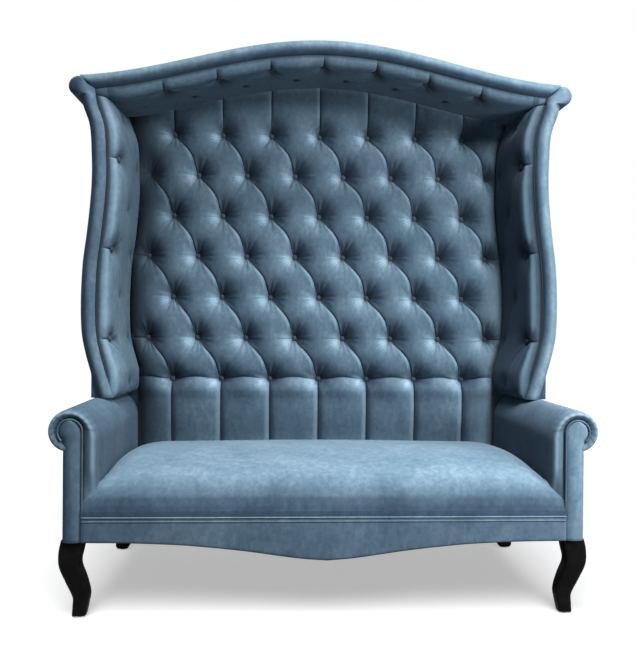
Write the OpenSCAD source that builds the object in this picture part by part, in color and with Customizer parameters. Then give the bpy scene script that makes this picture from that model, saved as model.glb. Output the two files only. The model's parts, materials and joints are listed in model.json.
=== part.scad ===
// Chesterfield sofa with a winged, hooded back, in millimetres.
// The front faces -Y, the glides stand on z = 0 and x = 0 is the middle.

/* [Overall] */
// Width across the two arm rolls
arm_span = 1500; // [1380:10:1620]
// Depth from the front welt to the outside back
depth = 714; // [690:2:760]
// Height of the hood at its middle
height = 1690; // [1670:5:1730]

/* [Legs] */
// Height of the legs, up to the frame
leg_h = 212; // [190:2:230]
// Outward bulge of the front knee from the middle of the foot
knee_out = 52; // [46:1:54]
// Half width of the front foot
foot_half = 18; // [15:1:20]
// Width of a rear leg at its top
rear_leg_w = 46; // [40:1:50]
// Diameter of a glide
glide_d = 24; // [18:1:28]
// Thickness of a glide
glide_t = 4; // [3:0.5:6]

/* [Frame] */
// Thickness of the seat rails
rail_t = 28; // [22:1:32]
// Height of the back and side rails
rail_h = 54; // [44:1:60]
// Width of the arm stumps
stump_w = 40; // [34:1:44]
// Width and depth of the back posts
post_w = 45; // [40:1:48]
// Thickness of the arm rails
arm_rail_t = 22; // [18:1:26]
// Thickness of the rails across the back
back_rail_t = 25; // [20:1:28]
// Thickness of the bent hood rails
hood_rail_t = 28; // [24:1:32]
// Diameter of the frame screws
screw_d = 6; // [4:0.5:7]
// Diameter of the leg bolts
leg_bolt_d = 8; // [6:0.5:10]

/* [Seat] */
// Height of the front edge of the seat above the legs
seat_edge_h = 72; // [70:1:78]
// Rise of the seat from its front edge to its crown
seat_crown_h = 141; // [120:3:153]
// Rise of the seat from its front edge to the back
seat_back_h = 112; // [98:2:116]
// Diameter of the two cords along the edge of the seat
cord_d = 5; // [4:0.5:6]
// Thickness of the foam on the springs
foam_t = 47; // [40:1:52]
// Drop of the front rail's curved edge at the middle
apron_drop = 50; // [30:1:70]
// Thickness of the springs' wire
wire_d = 4; // [3:0.5:5]
// Pitch of the springs across the seat
spring_pitch = 150; // [130:5:170]

/* [Arms] */
// Radius of the arm rolls
roll_r = 57; // [50:1:60]
// Height of the middle of the rolls above the legs
roll_h = 296; // [284:2:308]
// Radius of the round head of an arm facing
facing_r = 29; // [24:1:32]
// Diameter of the welts
welt_d = 8; // [6:0.5:9]
// Padding on the inside of an arm
arm_pad_t = 43; // [36:1:48]
// How far the inside of an arm lies inwards of the middle of its roll
arm_lean = 76; // [68:1:80]
// Thickness of the outside panels
panel_t = 5; // [4:0.5:6]

/* [Back] */
// Least padding of the back, at its top
back_pad_t = 65; // [60:1:75]
// Further padding at the small of the back
lumbar_t = 25; // [10:1:30]
// Distance between buttons across
tuft_x = 168; // [156:2:172]
// Distance between buttons up, from a row to the next but one
tuft_z = 283; // [260:1:290]
// Height of the lowest row of buttons above the back of the seat
tuft_low_h = 210; // [206:2:230]
// Depth of the buttons
button_depth = 34; // [26:1:38]
// Depth of the pleats
pleat_depth = 14; // [8:1:16]
// Diameter of the buttons
button_d = 30; // [24:1:34]

/* [Wings] */
// Distance from the front of the arms back to the wings
wing_setback = 330; // [300:5:350]
// How far the waist of a wing lies inside its belly
waist_in = 31; // [22:1:38]
// Distance from the front of a wing to its first column of buttons
wing_column_in = 70; // [60:2:80]
// Width of the rolled facings
facing_w = 45; // [40:1:48]
// Depth of the rolled facings
facing_bulge = 22; // [16:1:26]
// Radius of the scroll at the top of a wing
scroll_r = 30; // [26:1:32]
// Padding of a wing at its front
wing_pad_front_t = 40; // [34:1:44]
// Padding of a wing at its back
wing_pad_back_t = 60; // [50:1:64]

/* [Hood] */
// Height of the hood's middle above the flat sides of the wings
hood_h = 188; // [180:2:200]
// Rise of the arch from its ends to its middle
hood_rise = 127; // [120:1:134]
// Distance from the front of the hood to its first row of buttons
hood_row_in = 90; // [80:2:100]
// Padding of the hood
hood_pad_t = 44; // [38:1:50]

/* [Hidden] */

$fn = 48;
// Clearance between soft or curved neighbours
gap = 0.3;
// Overrun of a cut past the surface that it opens
cut = 1;
// Bite of a solid into the one beside it in the same piece
bite = 1;
// Least padding over the frame
least_pad_t = 12;
velvet = "steelblue";
timber = "burlywood";
lacquer = "#26242a";
steel = "silver";
linen = "wheat";

// Stations from the front to the back
front_y = -depth / 2;
back_y = depth / 2;
cover_t = 4;
post_back_y = back_y - cover_t;
post_y = post_back_y - post_w;
wing_y = front_y + wing_setback;
wing_inner_y = wing_y + facing_bulge;
facing_face = welt_d / 4;
stump_y = front_y + welt_d + facing_face;
crease_pad_t = 49;
back_crease_y = post_y - crease_pad_t;
pad_back_y = back_crease_y - gap;

// Stations across
roll_x = arm_span / 2 - roll_r;
panel_out = 13;
panel_x = roll_x + panel_out;
stump_x = panel_x - panel_t - stump_w;
arm_inner_x = roll_x - arm_lean;
arm_front_lean = 35;
arm_inner_front_x = roll_x - arm_front_lean;
welt_in = 5;
welt_x = roll_x - welt_in;
side_rail_x = stump_x + rail_t;
belly_x = arm_span / 2;
waist_x = belly_x - waist_in;
hood_end_in = 19;
hood_end_x = belly_x - hood_end_in;
scroll_x = hood_end_x + scroll_r + gap;

// Heights
rail_lift = 10;
rail_z = leg_h + rail_lift;
rail_top_z = rail_z + rail_h;
hessian_t = 2.4;
deck_z = rail_top_z + wire_d + hessian_t + 2 * gap;
seat_edge_z = leg_h + seat_edge_h;
seat_crown_z = seat_edge_z + seat_crown_h;
seat_back_z = seat_edge_z + seat_back_h;
roll_z = leg_h + roll_h;
arm_top_z = roll_z + roll_r;
tuft_low_z = seat_back_z + tuft_low_h;
wing_top_z = height - hood_h;
scroll_z = wing_top_z + scroll_r - bite;

// A smooth curve through a table of [place, value] rows
function row_at(table, t, i = 0) =
  i >= len(table) - 2 || t < table[i + 1][0] ? i : row_at(table, t, i + 1);
function rise_at(table, i) =
  let (a = table[max(i - 1, 0)], b = table[min(i + 1, len(table) - 1)])
  (b[1] - a[1]) / (b[0] - a[0]);
function smooth(table, t) =
  let (
    i = row_at(table, t),
    a = table[i],
    b = table[i + 1],
    span = b[0] - a[0],
    u = (t - a[0]) / span
  )
  a[1] * (2 * pow(u, 3) - 3 * u * u + 1) + b[1] * (3 * u * u - 2 * pow(u, 3))
  + span * (rise_at(table, i) * (pow(u, 3) - 2 * u * u + u)
            + rise_at(table, i + 1) * (pow(u, 3) - u * u));
function mix(a, b, s) = a + (b - a) * s;
function ease(s) = let (t = min(max(s, 0), 1)) t * t * (3 - 2 * t);
// How far a rounded edge falls at a distance in from the edge
function roundover(distance, radius, fall) =
  distance >= radius ? 0 : fall * (1 - sqrt(1 - pow(1 - max(distance, 0) / radius, 2)));

// Depth of the tufting in a diamond lattice, whose buttons lie at whole a and b
function tuft(u, v) =
  let (a = 180 * (u + v), b = 180 * (u - v))
  pleat_depth * (1 - sqrt(abs(sin(a) * sin(b))))
  + (button_depth - pleat_depth) * pow(abs(cos(a) * cos(b)), 6);
// Depth of the straight pleats that run on from the last row of buttons
function channel(u) = pleat_depth * (1 - abs(sin(180 * u)));

// A solid through a list of closed sections with equally many points, each ended by its base corner
module loft(sections, turned = false) {
  count = len(sections[0]);
  last = (len(sections) - 1) * count;
  skin = [for (i = [0:count:last - count], k = [0:count - 1])
    let (a = i + k, b = i + (k + 1) % count)
    each [[a, b, b + count], [a, b + count, a + count]]];
  caps = [for (k = [0:count - 3])
    each [[count - 1, k + 1, k], [last + count - 1, last + k, last + k + 1]]];
  polyhedron([for (section = sections) each section],
             [for (face = concat(skin, caps)) turned ? [face[2], face[1], face[0]] : face]);
}

// The right-hand piece, or its mirror image on the left
module side(s) {
  if (s > 0) children();
  else mirror([1, 0, 0]) children();
}

// A prism between two depths, from an outline of x and z
module slab_y(y0, y1) {
  translate([0, y1, 0]) rotate([90, 0, 0]) linear_extrude(y1 - y0) children();
}

// A prism between two places across, from an outline of y and z
module slab_x(x0, x1) {
  translate([x0, 0, 0]) rotate([90, 0, 90]) linear_extrude(x1 - x0) children();
}

module box(lo, hi) {
  translate(lo) cube(hi - lo);
}

// Legs
front_leg_in = 17;
front_leg_x = roll_x - front_leg_in;
front_leg_back = 50;
front_leg_y = front_y + front_leg_back;
rear_rake = 10;
rear_leg_x = stump_x + stump_w / 2 - bite;
rear_leg_y = post_y + post_w / 2 - rear_rake;
rear_foot_in = 5;
rear_foot_h = 8;
bolt_bite = 44;
bolt_rise = 20;
knee_depth_share = 0.92;
leg_outer_shares = [[0, 0.26], [0.12, 0.24], [0.23, 0.24], [0.45, 0.5], [0.67, 0.72], [0.85, 0.77],
                    [1, 0.75]];
leg_inner_shares = [[0, 0.46], [0.14, 0.57], [0.28, 0.64], [0.5, 0.48], [0.71, 0.27],
                    [0.87, 0.37], [1, 0.46]];
leg_steps = 20;
// Outline of a front leg, seen square to one of its sides, whose lowest points are the foot's
function leg_side(shares, i) = i == 0 ? foot_half : knee_out * smooth(shares, i / leg_steps);
function leg_outline(out) =
  let (span = leg_h - glide_t)
  [for (i = [0:leg_steps]) [out * leg_side(leg_outer_shares, i), glide_t + span * i / leg_steps],
    for (i = [leg_steps:-1:0]) [-out * leg_side(leg_inner_shares, i),
                                glide_t + span * i / leg_steps]];
function rear_outline(rake) =
  let (half = rear_leg_w / 2)
  [[-half + rear_foot_in, glide_t], [half - rear_foot_in, glide_t], [half, glide_t + rear_foot_h],
    [half + rake, leg_h], [-half + rake, leg_h], [-half, glide_t + rear_foot_h]];

module bolt_bore(x, y, grow) {
  translate([x, y, leg_h - bolt_bite]) cylinder(d = leg_bolt_d + 2 * grow, h = bolt_bite + bolt_rise);
}
bolt_front = [stump_x + stump_w / 2, stump_y + rail_t / 2];
bolt_rear = [rear_leg_x, post_y + post_w / 2];

module front_leg(s) {
  color(lacquer) side(s) difference() {
    intersection() {
      translate([front_leg_x, 0, 0]) slab_y(front_y, front_y + 2 * knee_out) polygon(leg_outline(1));
      translate([0, front_leg_y, 0])
        slab_x(front_leg_x - 2 * knee_out, front_leg_x + 2 * knee_out)
        polygon([for (p = leg_outline(-1)) [p[0] * knee_depth_share, p[1]]]);
    }
    bolt_bore(bolt_front[0], bolt_front[1], gap);
  }
}

module rear_leg(s) {
  color(lacquer) side(s) difference() {
    intersection() {
      translate([rear_leg_x, 0, 0]) slab_y(post_y - post_w, post_back_y) polygon(rear_outline(0));
      translate([0, rear_leg_y, 0])
        slab_x(rear_leg_x - rear_leg_w, rear_leg_x + rear_leg_w) polygon(rear_outline(rear_rake));
    }
    bolt_bore(bolt_rear[0], bolt_rear[1], gap);
  }
}
module front_leg_left() { front_leg(-1); }
module front_leg_right() { front_leg(1); }
module rear_leg_left() { rear_leg(-1); }
module rear_leg_right() { rear_leg(1); }

module leg_glides() {
  color(steel) for (s = [-1, 1]) side(s) {
    translate([front_leg_x, front_leg_y, 0]) cylinder(d = glide_d, h = glide_t);
    translate([rear_leg_x, rear_leg_y, 0]) cylinder(d = glide_d, h = glide_t);
  }
}

module leg_bolts() {
  color(steel) for (s = [-1, 1]) side(s) {
    bolt_bore(bolt_front[0], bolt_front[1], 0);
    bolt_bore(bolt_rear[0], bolt_rear[1], 0);
  }
}

// Seat frame
// Lower edge of the front rail, level at the arms and dipping in the middle
apron_shares = [[0, 1], [0.1, 0.9], [0.2, 0.73], [0.3, 0.54], [0.4, 0.38], [0.5, 0.25], [0.6, 0.14],
                [0.8, 0.03], [1, 0]];
apron_steps = 14;
border_lap = 4;
back_rail_in = 2;
function apron(half, lift) = concat(
  [for (i = [-apron_steps:apron_steps]) let (s = i / apron_steps)
    [half * s, leg_h + lift - apron_drop * smooth(apron_shares, abs(s))]]);

module front_rail() {
  color(timber) difference() {
    slab_y(stump_y, stump_y + rail_t)
      polygon(concat(apron(stump_x, border_lap), [[stump_x, rail_top_z], [-stump_x, rail_top_z]]));
    screw_bores(gap);
  }
}

module back_rail() {
  color(timber) difference() {
    box([-stump_x, post_y + back_rail_in, rail_z],
        [stump_x, post_y + back_rail_in + back_rail_t, rail_top_z]);
    screw_bores(gap);
  }
}

module side_rail(s) {
  color(timber) side(s)
    box([stump_x, stump_y + rail_t, rail_z], [side_rail_x, post_y, rail_top_z]);
}
module side_rail_left() { side_rail(-1); }
module side_rail_right() { side_rail(1); }

block_side = 70;
block_drop = 20;
module corner_blocks() {
  block = [[0, 0], [block_side, 0], [0, block_side]];
  block_h = rail_h - block_drop;
  color(timber) for (s = [-1, 1]) side(s) {
    translate([stump_x, stump_y + rail_t, rail_z]) mirror([1, 0, 0]) linear_extrude(block_h)
      polygon(block);
    translate([stump_x, post_y, rail_z]) rotate([0, 0, 180]) linear_extrude(block_h)
      polygon(block);
  }
}

stretcher_w = 50;
stretcher_drop = 16;
module seat_stretchers() {
  color(timber) for (s = [-1, 1])
    box([s * stump_x / 3 - stretcher_w / 2, stump_y + rail_t, rail_z],
        [s * stump_x / 3 + stretcher_w / 2, post_y + back_rail_in, rail_top_z - stretcher_drop]);
}

// Zigzag springs, from clip to clip over the front and back rails
spring_front_y = stump_y + rail_t / 2;
spring_back_y = post_y + back_rail_in + back_rail_t / 2;
spring_turns = 13;
spring_swing = 22;
spring_half_count = floor((stump_x - spring_pitch / 2 - spring_swing) / spring_pitch);
spring_xs = [for (i = [-spring_half_count - 0.5:spring_half_count + 0.5]) i * spring_pitch];
wave_steps = 4 * spring_turns;
function wave(i, x_off) =
  let (
    s = i / wave_steps,
    a = 180 * spring_turns * s,
    y = mix(spring_front_y, spring_back_y, s),
    slope = cos(a) * PI * spring_turns / (spring_back_y - spring_front_y) * spring_swing,
    length = sqrt(1 + slope * slope)
  )
  [spring_swing * sin(a) + x_off / length, y - x_off * slope / length];

module seat_springs() {
  half = wire_d / 2;
  outline = [for (i = [0:wave_steps]) wave(i, half), for (i = [wave_steps:-1:0]) wave(i, -half)];
  color(steel) for (x = spring_xs)
    translate([x, 0, rail_top_z]) linear_extrude(wire_d) polygon(outline);
}

clip_w = 32;
clip_t = 1.5;
module spring_clips() {
  color(steel) for (x = spring_xs, at = [spring_front_y, spring_back_y]) difference() {
    translate([x - clip_w / 2, at - rail_t / 4, rail_top_z])
      cube([clip_w, rail_t / 2, wire_d + clip_t]);
    translate([x - clip_w / 2 + clip_t, at - rail_t / 2, rail_top_z - cut])
      cube([clip_w - 2 * clip_t, rail_t, wire_d + cut + gap / 3]);
  }
}

cloth_in = 1;
module spring_hessian() {
  color(linen) box([-stump_x + cloth_in, stump_y + rail_t + cloth_in, rail_top_z + wire_d + gap],
                   [stump_x - cloth_in, back_crease_y, deck_z - gap]);
}

// Seat
seat_front_in = 6;
seat_front_y = front_y + welt_d + seat_front_in;
foam_z = deck_z + foam_t;
foam_side_in = 2;
foam_front_in = 14;
foam_back_in = 20;
module seat_foam() {
  color("lightyellow") box([-arm_inner_x + foam_side_in, stump_y + rail_t + foam_front_in, deck_z],
                           [arm_inner_x - foam_side_in, back_crease_y - foam_back_in, foam_z]);
}

// Inner side of an arm, seen from above: it starts at the facing and swells inwards
swell_start = 24;
swell_end = 86;
swell_start_y = front_y + swell_start;
swell_end_y = front_y + swell_end;
function arm_inner(y) = mix(arm_inner_front_x, arm_inner_x,
                            ease((y - swell_start_y) / (swell_end_y - swell_start_y)));
seat_section_shares = [0, 0.006, 0.018, 0.036, 0.052, 0.062, 0.078, 0.1, 0.13, 0.18, 0.26, 0.36, 0.48,
  0.6, 0.72, 0.83, 0.92, 0.97, 1];
seat_crown_shares = [[0, 0.1], [0.006, 0.22], [0.018, 0.38], [0.05, 0.58], [0.1, 0.74], [0.2, 0.89],
  [0.36, 0.98], [0.55, 1], [0.8, 0.93], [0.95, 0.84], [1, 0.79]];
seat_back_in = 17;
seat_back_y = back_crease_y - seat_back_in;
seat_columns = 32;
seat_shoulder = 120;
seat_shoulder_share = 0.5;
seat_sag = 6;
seat_front_share = 0.052;
least_seat_t = 2;
module seat_pad() {
  color(velvet) loft([for (s = seat_section_shares)
    let (
      y = mix(seat_front_y, seat_back_y, s),
      half = arm_inner(y) - 4 * gap,
      low = s <= seat_front_share ? seat_edge_z : foam_z + gap,
      top = mix(seat_edge_z, seat_crown_z, smooth(seat_crown_shares, s))
    )
    [for (i = [0:seat_columns]) let (
        x = half * (2 * i / seat_columns - 1),
        shoulder = roundover(half - abs(x), seat_shoulder, seat_shoulder_share),
        sag = seat_sag * (1 - cos(180 * x / half)) / 2
      )
      [x, y, max(mix(low, top, 1 - shoulder) - sag * ease(4 * s), low + least_seat_t)],
      [half, y, low], [-half, y, low]]], turned = true);
}

border_y = front_y + facing_face;
cord_drop = 2;
cord_y = front_y + welt_d / 2 + cord_drop;
border_top_z = seat_edge_z - 2 * cord_d - 4 * gap - cord_drop;
border_reach = welt_x - facing_r - welt_d;
module seat_border() {
  color(velvet) slab_y(border_y, stump_y)
    polygon(concat(apron(border_reach, 0),
                   [[border_reach, border_top_z], [-border_reach, border_top_z]]));
}

module seat_welt() {
  color(velvet) for (k = [0, 1])
    translate([-border_reach, cord_y, border_top_z + gap + cord_d / 2 + k * (cord_d + gap)])
    rotate([0, 90, 0]) cylinder(d = cord_d, h = 2 * border_reach);
}

// Arms
stump_drop = 4;
stump_top_z = roll_z + arm_rail_t - stump_drop;
module stump_solid(s, grow) {
  slab_y(stump_y - grow, stump_y + rail_t + grow)
    polygon([[stump_x - grow, leg_h - grow], [stump_x + stump_w + grow, leg_h - grow],
             [stump_x + stump_w + grow, stump_top_z + grow], [stump_x - grow, stump_top_z + grow]]);
}
module arm_stump(s) {
  color(timber) side(s) difference() {
    stump_solid(s, 0);
    bolt_bore(bolt_front[0], bolt_front[1], gap);
    screw_bores(gap);
  }
}
module arm_stump_left() { arm_stump(-1); }
module arm_stump_right() { arm_stump(1); }

arm_rail_w = 50;
module arm_rail_solid(grow) {
  box([roll_x - arm_rail_w / 2 - grow, stump_y + rail_t - grow, roll_z - grow],
      [roll_x + arm_rail_w / 2 + grow, post_y + grow, roll_z + arm_rail_t + grow]);
}
module arm_rail(s) {
  color(timber) side(s) arm_rail_solid(0);
}
module arm_rail_left() { arm_rail(-1); }
module arm_rail_right() { arm_rail(1); }

arm_swell_steps = 10;
arm_front_y = front_y + welt_d;
shoulder_drop = 28;
module arm_pad(s) {
  shoulder_z = roll_z - shoulder_drop;
  low_z = deck_z;
  profile = concat(
    [[arm_inner_x + arm_pad_t, low_z], [arm_inner_x, low_z]],
    [for (a = [0:10:90]) [roll_x - (roll_x - arm_inner_x) * cos(a),
                          shoulder_z + (arm_top_z - shoulder_z) * sin(a)]],
    [[roll_x, roll_z - roll_r / 2], [arm_inner_x + arm_pad_t, roll_z - roll_r]]);
  plan = concat(
    [for (i = [0:arm_swell_steps])
      let (y = mix(swell_start_y, swell_end_y, i / arm_swell_steps)) [arm_inner(y), y]],
    [[arm_inner_x, pad_back_y], [roll_x + cut, pad_back_y], [roll_x + cut, arm_front_y],
     [arm_inner_front_x, arm_front_y]]);
  color(velvet) side(s) difference() {
    union() {
      intersection() {
        slab_y(arm_front_y, pad_back_y) polygon(profile);
        translate([0, 0, low_z - cut]) linear_extrude(arm_top_z) polygon(plan);
      }
      translate([roll_x, post_back_y, roll_z]) rotate([90, 0, 0])
        cylinder(r = roll_r, h = post_back_y - arm_front_y);
    }
    stump_solid(s, gap);
    arm_rail_solid(gap);
    post_solid(gap);
    wing_foot(gap);
    facing_solid(gap);
    box([arm_inner_x - cut, pad_back_y, low_z - cut],
        [stump_x + gap, post_back_y + cut, arm_top_z + cut]);
  }
}
module arm_pad_left() { arm_pad(-1); }
module arm_pad_right() { arm_pad(1); }

// Keyhole facing of an arm, inside the line of its welt, which ends this far round the head
welt_end = 52;
module facing_solid(grow) {
  inset = welt_d / 2 + gap - grow;
  translate([0, stump_y + grow, 0]) rotate([90, 0, 0])
    linear_extrude(stump_y - front_y - facing_face + grow) {
    translate([welt_x, roll_z]) circle(r = facing_r - inset);
    polygon([[welt_x - facing_r + inset, leg_h], [panel_x, leg_h],
             [panel_x, roll_z - facing_r * sin(welt_end) - welt_d / 4],
             [welt_x + (facing_r - inset) * cos(welt_end), roll_z - (facing_r - inset) * sin(welt_end)],
             [welt_x - facing_r + inset, roll_z]]);
  }
}
module arm_facing(s) {
  color(velvet) side(s) facing_solid(0);
}
module arm_facing_left() { arm_facing(-1); }
module arm_facing_right() { arm_facing(1); }

welt_sweep = 180 + welt_end;
module arm_welt(s) {
  color(velvet) side(s) translate([welt_x, front_y + welt_d / 2, 0]) {
    translate([-facing_r, 0, leg_h]) cylinder(d = welt_d, h = roll_z - leg_h);
    translate([0, 0, roll_z]) rotate([90, 0, 0]) rotate([0, 0, 180 - welt_sweep])
      rotate_extrude(angle = welt_sweep) translate([facing_r, 0]) circle(d = welt_d, $fn = 24);
  }
}
module arm_welt_left() { arm_welt(-1); }
module arm_welt_right() { arm_welt(1); }

module arm_panel(s) {
  color(velvet) side(s)
    box([panel_x - panel_t, stump_y, leg_h], [panel_x, post_back_y, roll_z - roll_r]);
}
module arm_panel_left() { arm_panel(-1); }
module arm_panel_right() { arm_panel(1); }

// Back frame
post_drop = 22;
post_room = 5;
post_top_z = wing_top_z - post_drop;
module post_solid(grow) {
  box([stump_x - post_room - grow, post_y - grow, leg_h],
      [panel_x - panel_t + grow, post_back_y + grow, post_top_z]);
}
module back_post(s) {
  color(timber) side(s) difference() {
    box([stump_x, post_y, leg_h], [panel_x - panel_t, post_back_y, post_top_z]);
    bolt_bore(bolt_rear[0], bolt_rear[1], gap);
    screw_bores(gap);
  }
}
module back_post_left() { back_post(-1); }
module back_post_right() { back_post(1); }

back_rail_h = 60;
mid_rail_z = (rail_top_z + post_top_z) / 2;
module cross_rail(z) {
  color(timber) difference() {
    box([-stump_x, post_y + back_rail_in, z],
        [stump_x, post_y + back_rail_in + back_rail_t, z + back_rail_h]);
    screw_bores(gap);
  }
}
module back_mid_rail() { cross_rail(mid_rail_z); }
module back_top_rail() { cross_rail(post_top_z - back_rail_h); }

web_w = 50;
web_t = 1.6;
web_lap = 14;
module back_webbing() {
  half_count = floor((stump_x - web_w) / spring_pitch);
  color(linen) for (i = [-half_count:half_count])
    box([i * spring_pitch - web_w / 2, post_y + back_rail_in - web_t, rail_top_z - web_lap],
        [i * spring_pitch + web_w / 2, post_y + back_rail_in, post_top_z - web_lap]);
}

screw_len = 80;
screw_head_h = 3;
screw_sink = 2;
screw_low_share = 0.3;
screw_high_share = 0.75;
screw_y = post_y + back_rail_in + back_rail_t / 2;
module screw_bores(grow) {
  places = [
    [spring_front_y, rail_z + rail_h * screw_low_share],
    [spring_front_y, rail_z + rail_h * screw_high_share],
    [screw_y, rail_z + rail_h * screw_low_share], [screw_y, rail_z + rail_h * screw_high_share],
    [screw_y, mid_rail_z + back_rail_h / 2], [screw_y, post_top_z - back_rail_h / 2]];
  for (s = [-1, 1], place = places) side(s)
    translate([panel_x - panel_t - screw_sink - screw_len, place[0], place[1]]) rotate([0, 90, 0]) {
      cylinder(d = screw_d + 2 * grow, h = screw_len + 2 * grow);
      translate([0, 0, screw_len - screw_head_h])
        cylinder(d = 2 * screw_d + 2 * grow, h = screw_head_h + (grow > 0 ? screw_sink : 0));
    }
}
module frame_screws() {
  color(steel) screw_bores(0);
}

// Back pad
button_cone_share = 0.52;
button_edge = 2;
button_dome = 6;
arch_beyond = 80;
hood_arch_x = belly_x + arch_beyond;
// Height of the outside of the hood over a place across
function hood_z(x) = height - hood_rise + hood_rise * (1 + cos(180 * x / hood_arch_x)) / 2;
function hood_base_z(x) = hood_z(x) - panel_t - hood_rail_t;
pad_face_y = post_y - back_pad_t;
back_crest_shares = [[0, 0], [0.08, 0.5], [0.22, 1], [0.45, 0.75], [0.75, 0.3], [1, 0]];
tuft_top_room = 40;
tuft_rows = floor((wing_top_z - tuft_top_room - tuft_low_z) / (tuft_z / 2));
tuft_top_z = tuft_low_z + tuft_rows * tuft_z / 2;
crease_x = arm_inner_x - gap;
back_low_rise = 17;
back_low_z = deck_z + back_low_rise;
grid_x = tuft_x / 4;
grid_z = tuft_z / 8;
back_round = 50;
back_tuck = 4;
back_rise = 30;
function back_crest(z) = pad_face_y
  - lumbar_t * smooth(back_crest_shares, min(max((z - seat_back_z) / (tuft_top_z - seat_back_z), 0), 1));
function back_face(x, z) =
  let (
    u = x / tuft_x,
    v = min(max((z - tuft_low_z) / tuft_z, 0), tuft_rows / 2),
    beyond = abs(z - tuft_low_z - v * tuft_z),
    in_lattice = tuft(u, v),
    run_on = channel(u + v),
    depth_here = beyond > 0 ? mix(in_lattice, run_on, ease(beyond / grid_z)) : in_lattice,
    side_fall = roundover(crease_x - abs(x), back_round, 1),
    free = abs(x) >= crease_x || z < seat_back_z ? 0 : 1 - side_fall
  )
  mix(back_crease_y, min(back_crest(z) + depth_here, post_y - least_pad_t), free);
back_columns = floor((crease_x - back_tuck) / grid_x);
back_xs = concat([-stump_x, -crease_x], [for (i = [-back_columns:back_columns]) i * grid_x],
                 [crease_x, stump_x]);
back_rows = floor((wing_top_z - tuft_low_z) / grid_z);
back_low_rows = floor((tuft_low_z - seat_back_z - 1.5 * back_rise) / grid_z);
back_zs = concat([back_low_z, seat_back_z + back_tuck, seat_back_z + back_rise],
                 [for (k = [-back_low_rows:back_rows]) tuft_low_z + k * grid_z]);
back_top_shares = [0.33, 0.67];
module back_pad() {
  last_z = back_zs[len(back_zs) - 1];
  color(velvet) loft([for (x = back_xs) concat(
    [for (z = back_zs) [x, back_face(x, z), z]],
    [for (s = back_top_shares) let (z = mix(last_z, hood_soffit_z(x), s)) [x, back_face(x, z), z]],
    [[x, back_crease_y, hood_soffit_z(x) - gap], [x, back_crease_y, hood_base_z(x) - gap]],
    [[x, post_y, hood_base_z(x) - gap], [x, post_y, back_low_z]])]);
}

// A covered button: coned at the back, domed in front, its front towards +z
module button() {
  r = button_d / 2;
  cone = button_d * button_cone_share;
  rotate_extrude($fn = 24) polygon(concat([[0, 0], [r, cone], [r, cone + button_edge]],
    [for (a = [30:30:90]) [r * cos(a), cone + button_edge + button_dome * sin(a)]]));
}
button_room = 24;
back_half = crease_x - button_room;
most_buttons = ceil(arm_span / tuft_x);
tuft_places = [for (k = [0:tuft_rows], i = [-most_buttons:most_buttons])
  let (x = (i + (k % 2) / 2) * tuft_x) if (abs(x) < back_half) [x, tuft_low_z + k * tuft_z / 2]];
module back_buttons() {
  color(velvet) for (p = tuft_places)
    translate([p[0], back_face(p[0], p[1]) - gap, p[1]]) rotate([90, 0, 0]) button();
}

module back_cover() {
  color(velvet) difference() {
    slab_y(post_back_y, back_y) {
      polygon(concat(
        [[panel_x, leg_h], [panel_x, arm_top_z]],
        [for (i = [0:wing_steps]) let (z = wing_z(i)) [wing_side(z), z]],
        [for (i = [hood_steps:-1:-hood_steps]) let (x = hood_end_x * i / hood_steps) [x, hood_z(x)]],
        [for (i = [wing_steps:-1:0]) let (z = wing_z(i)) [-wing_side(z), z]],
        [[-panel_x, arm_top_z], [-panel_x, leg_h]]));
      for (s = [-1, 1]) translate([s * roll_x, roll_z]) circle(r = roll_r);
      for (s = [-1, 1]) translate([s * scroll_x, scroll_z]) circle(r = scroll_r);
    }
  }
}

// Wings
wing_low_z = arm_top_z + gap;
// Outline of a wing's outer side: height share against bulge share
wing_shares = [[0, -0.81], [0.081, -0.065], [0.154, 0.55], [0.217, 0.9], [0.317, 1], [0.444, 0.84],
  [0.548, 0.45], [0.641, 0.16], [0.723, 0], [0.803, 0.02], [0.903, 0.24], [0.968, 0.9], [1, 1.08]];
straight_share = 0.081;
wing_steps = 26;
hood_steps = 24;
function wing_z(i) = mix(wing_low_z, wing_top_z, i / wing_steps);
function wing_x(z) =
  waist_x + (belly_x - waist_x) * smooth(wing_shares, (z - wing_low_z) / (wing_top_z - wing_low_z));
// The side panel and the frame run straight down from the foot of the curve
function wing_side(z) = wing_x(max(z, mix(wing_low_z, wing_top_z, straight_share)));
function wing_base(z) = wing_side(z) - facing_w;

module wing_band(outer, inner) {
  polygon(concat([for (i = [0:wing_steps]) let (z = wing_z(i)) [wing_side(z) - outer, z]],
                 [for (i = [wing_steps:-1:0]) let (z = wing_z(i)) [wing_side(z) - inner, z]]));
}

foot_in = 19;
foot_w = 22;
foot_x = stump_x + foot_in;
module wing_foot(grow) {
  box([foot_x - grow, wing_inner_y - grow, roll_z + arm_rail_t - grow],
      [foot_x + foot_w + grow, post_y + grow, wing_low_z + bite + grow]);
}
brace = 50;
window_low_share = 0.1;
window_high_share = 0.92;
module wing_frame(s) {
  color(timber) side(s) {
    difference() {
      slab_y(wing_inner_y, post_y) wing_band(panel_t + gap, facing_w - gap);
      box([stump_x - brace, wing_inner_y + brace, mix(wing_low_z, wing_top_z, window_low_share)],
          [belly_x, post_y - brace, (wing_low_z + wing_top_z - brace) / 2]);
      box([stump_x - brace, wing_inner_y + brace, (wing_low_z + wing_top_z + brace) / 2],
          [belly_x, post_y - brace, mix(wing_low_z, wing_top_z, window_high_share)]);
    }
    wing_foot(0);
  }
}
module wing_frame_left() { wing_frame(-1); }
module wing_frame_right() { wing_frame(1); }

// Inner side of a wing pad, by its place back from the facing
wing_column_y = wing_y + wing_column_in;
wing_row_z = tuft_low_z + tuft_z / 2;
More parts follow.
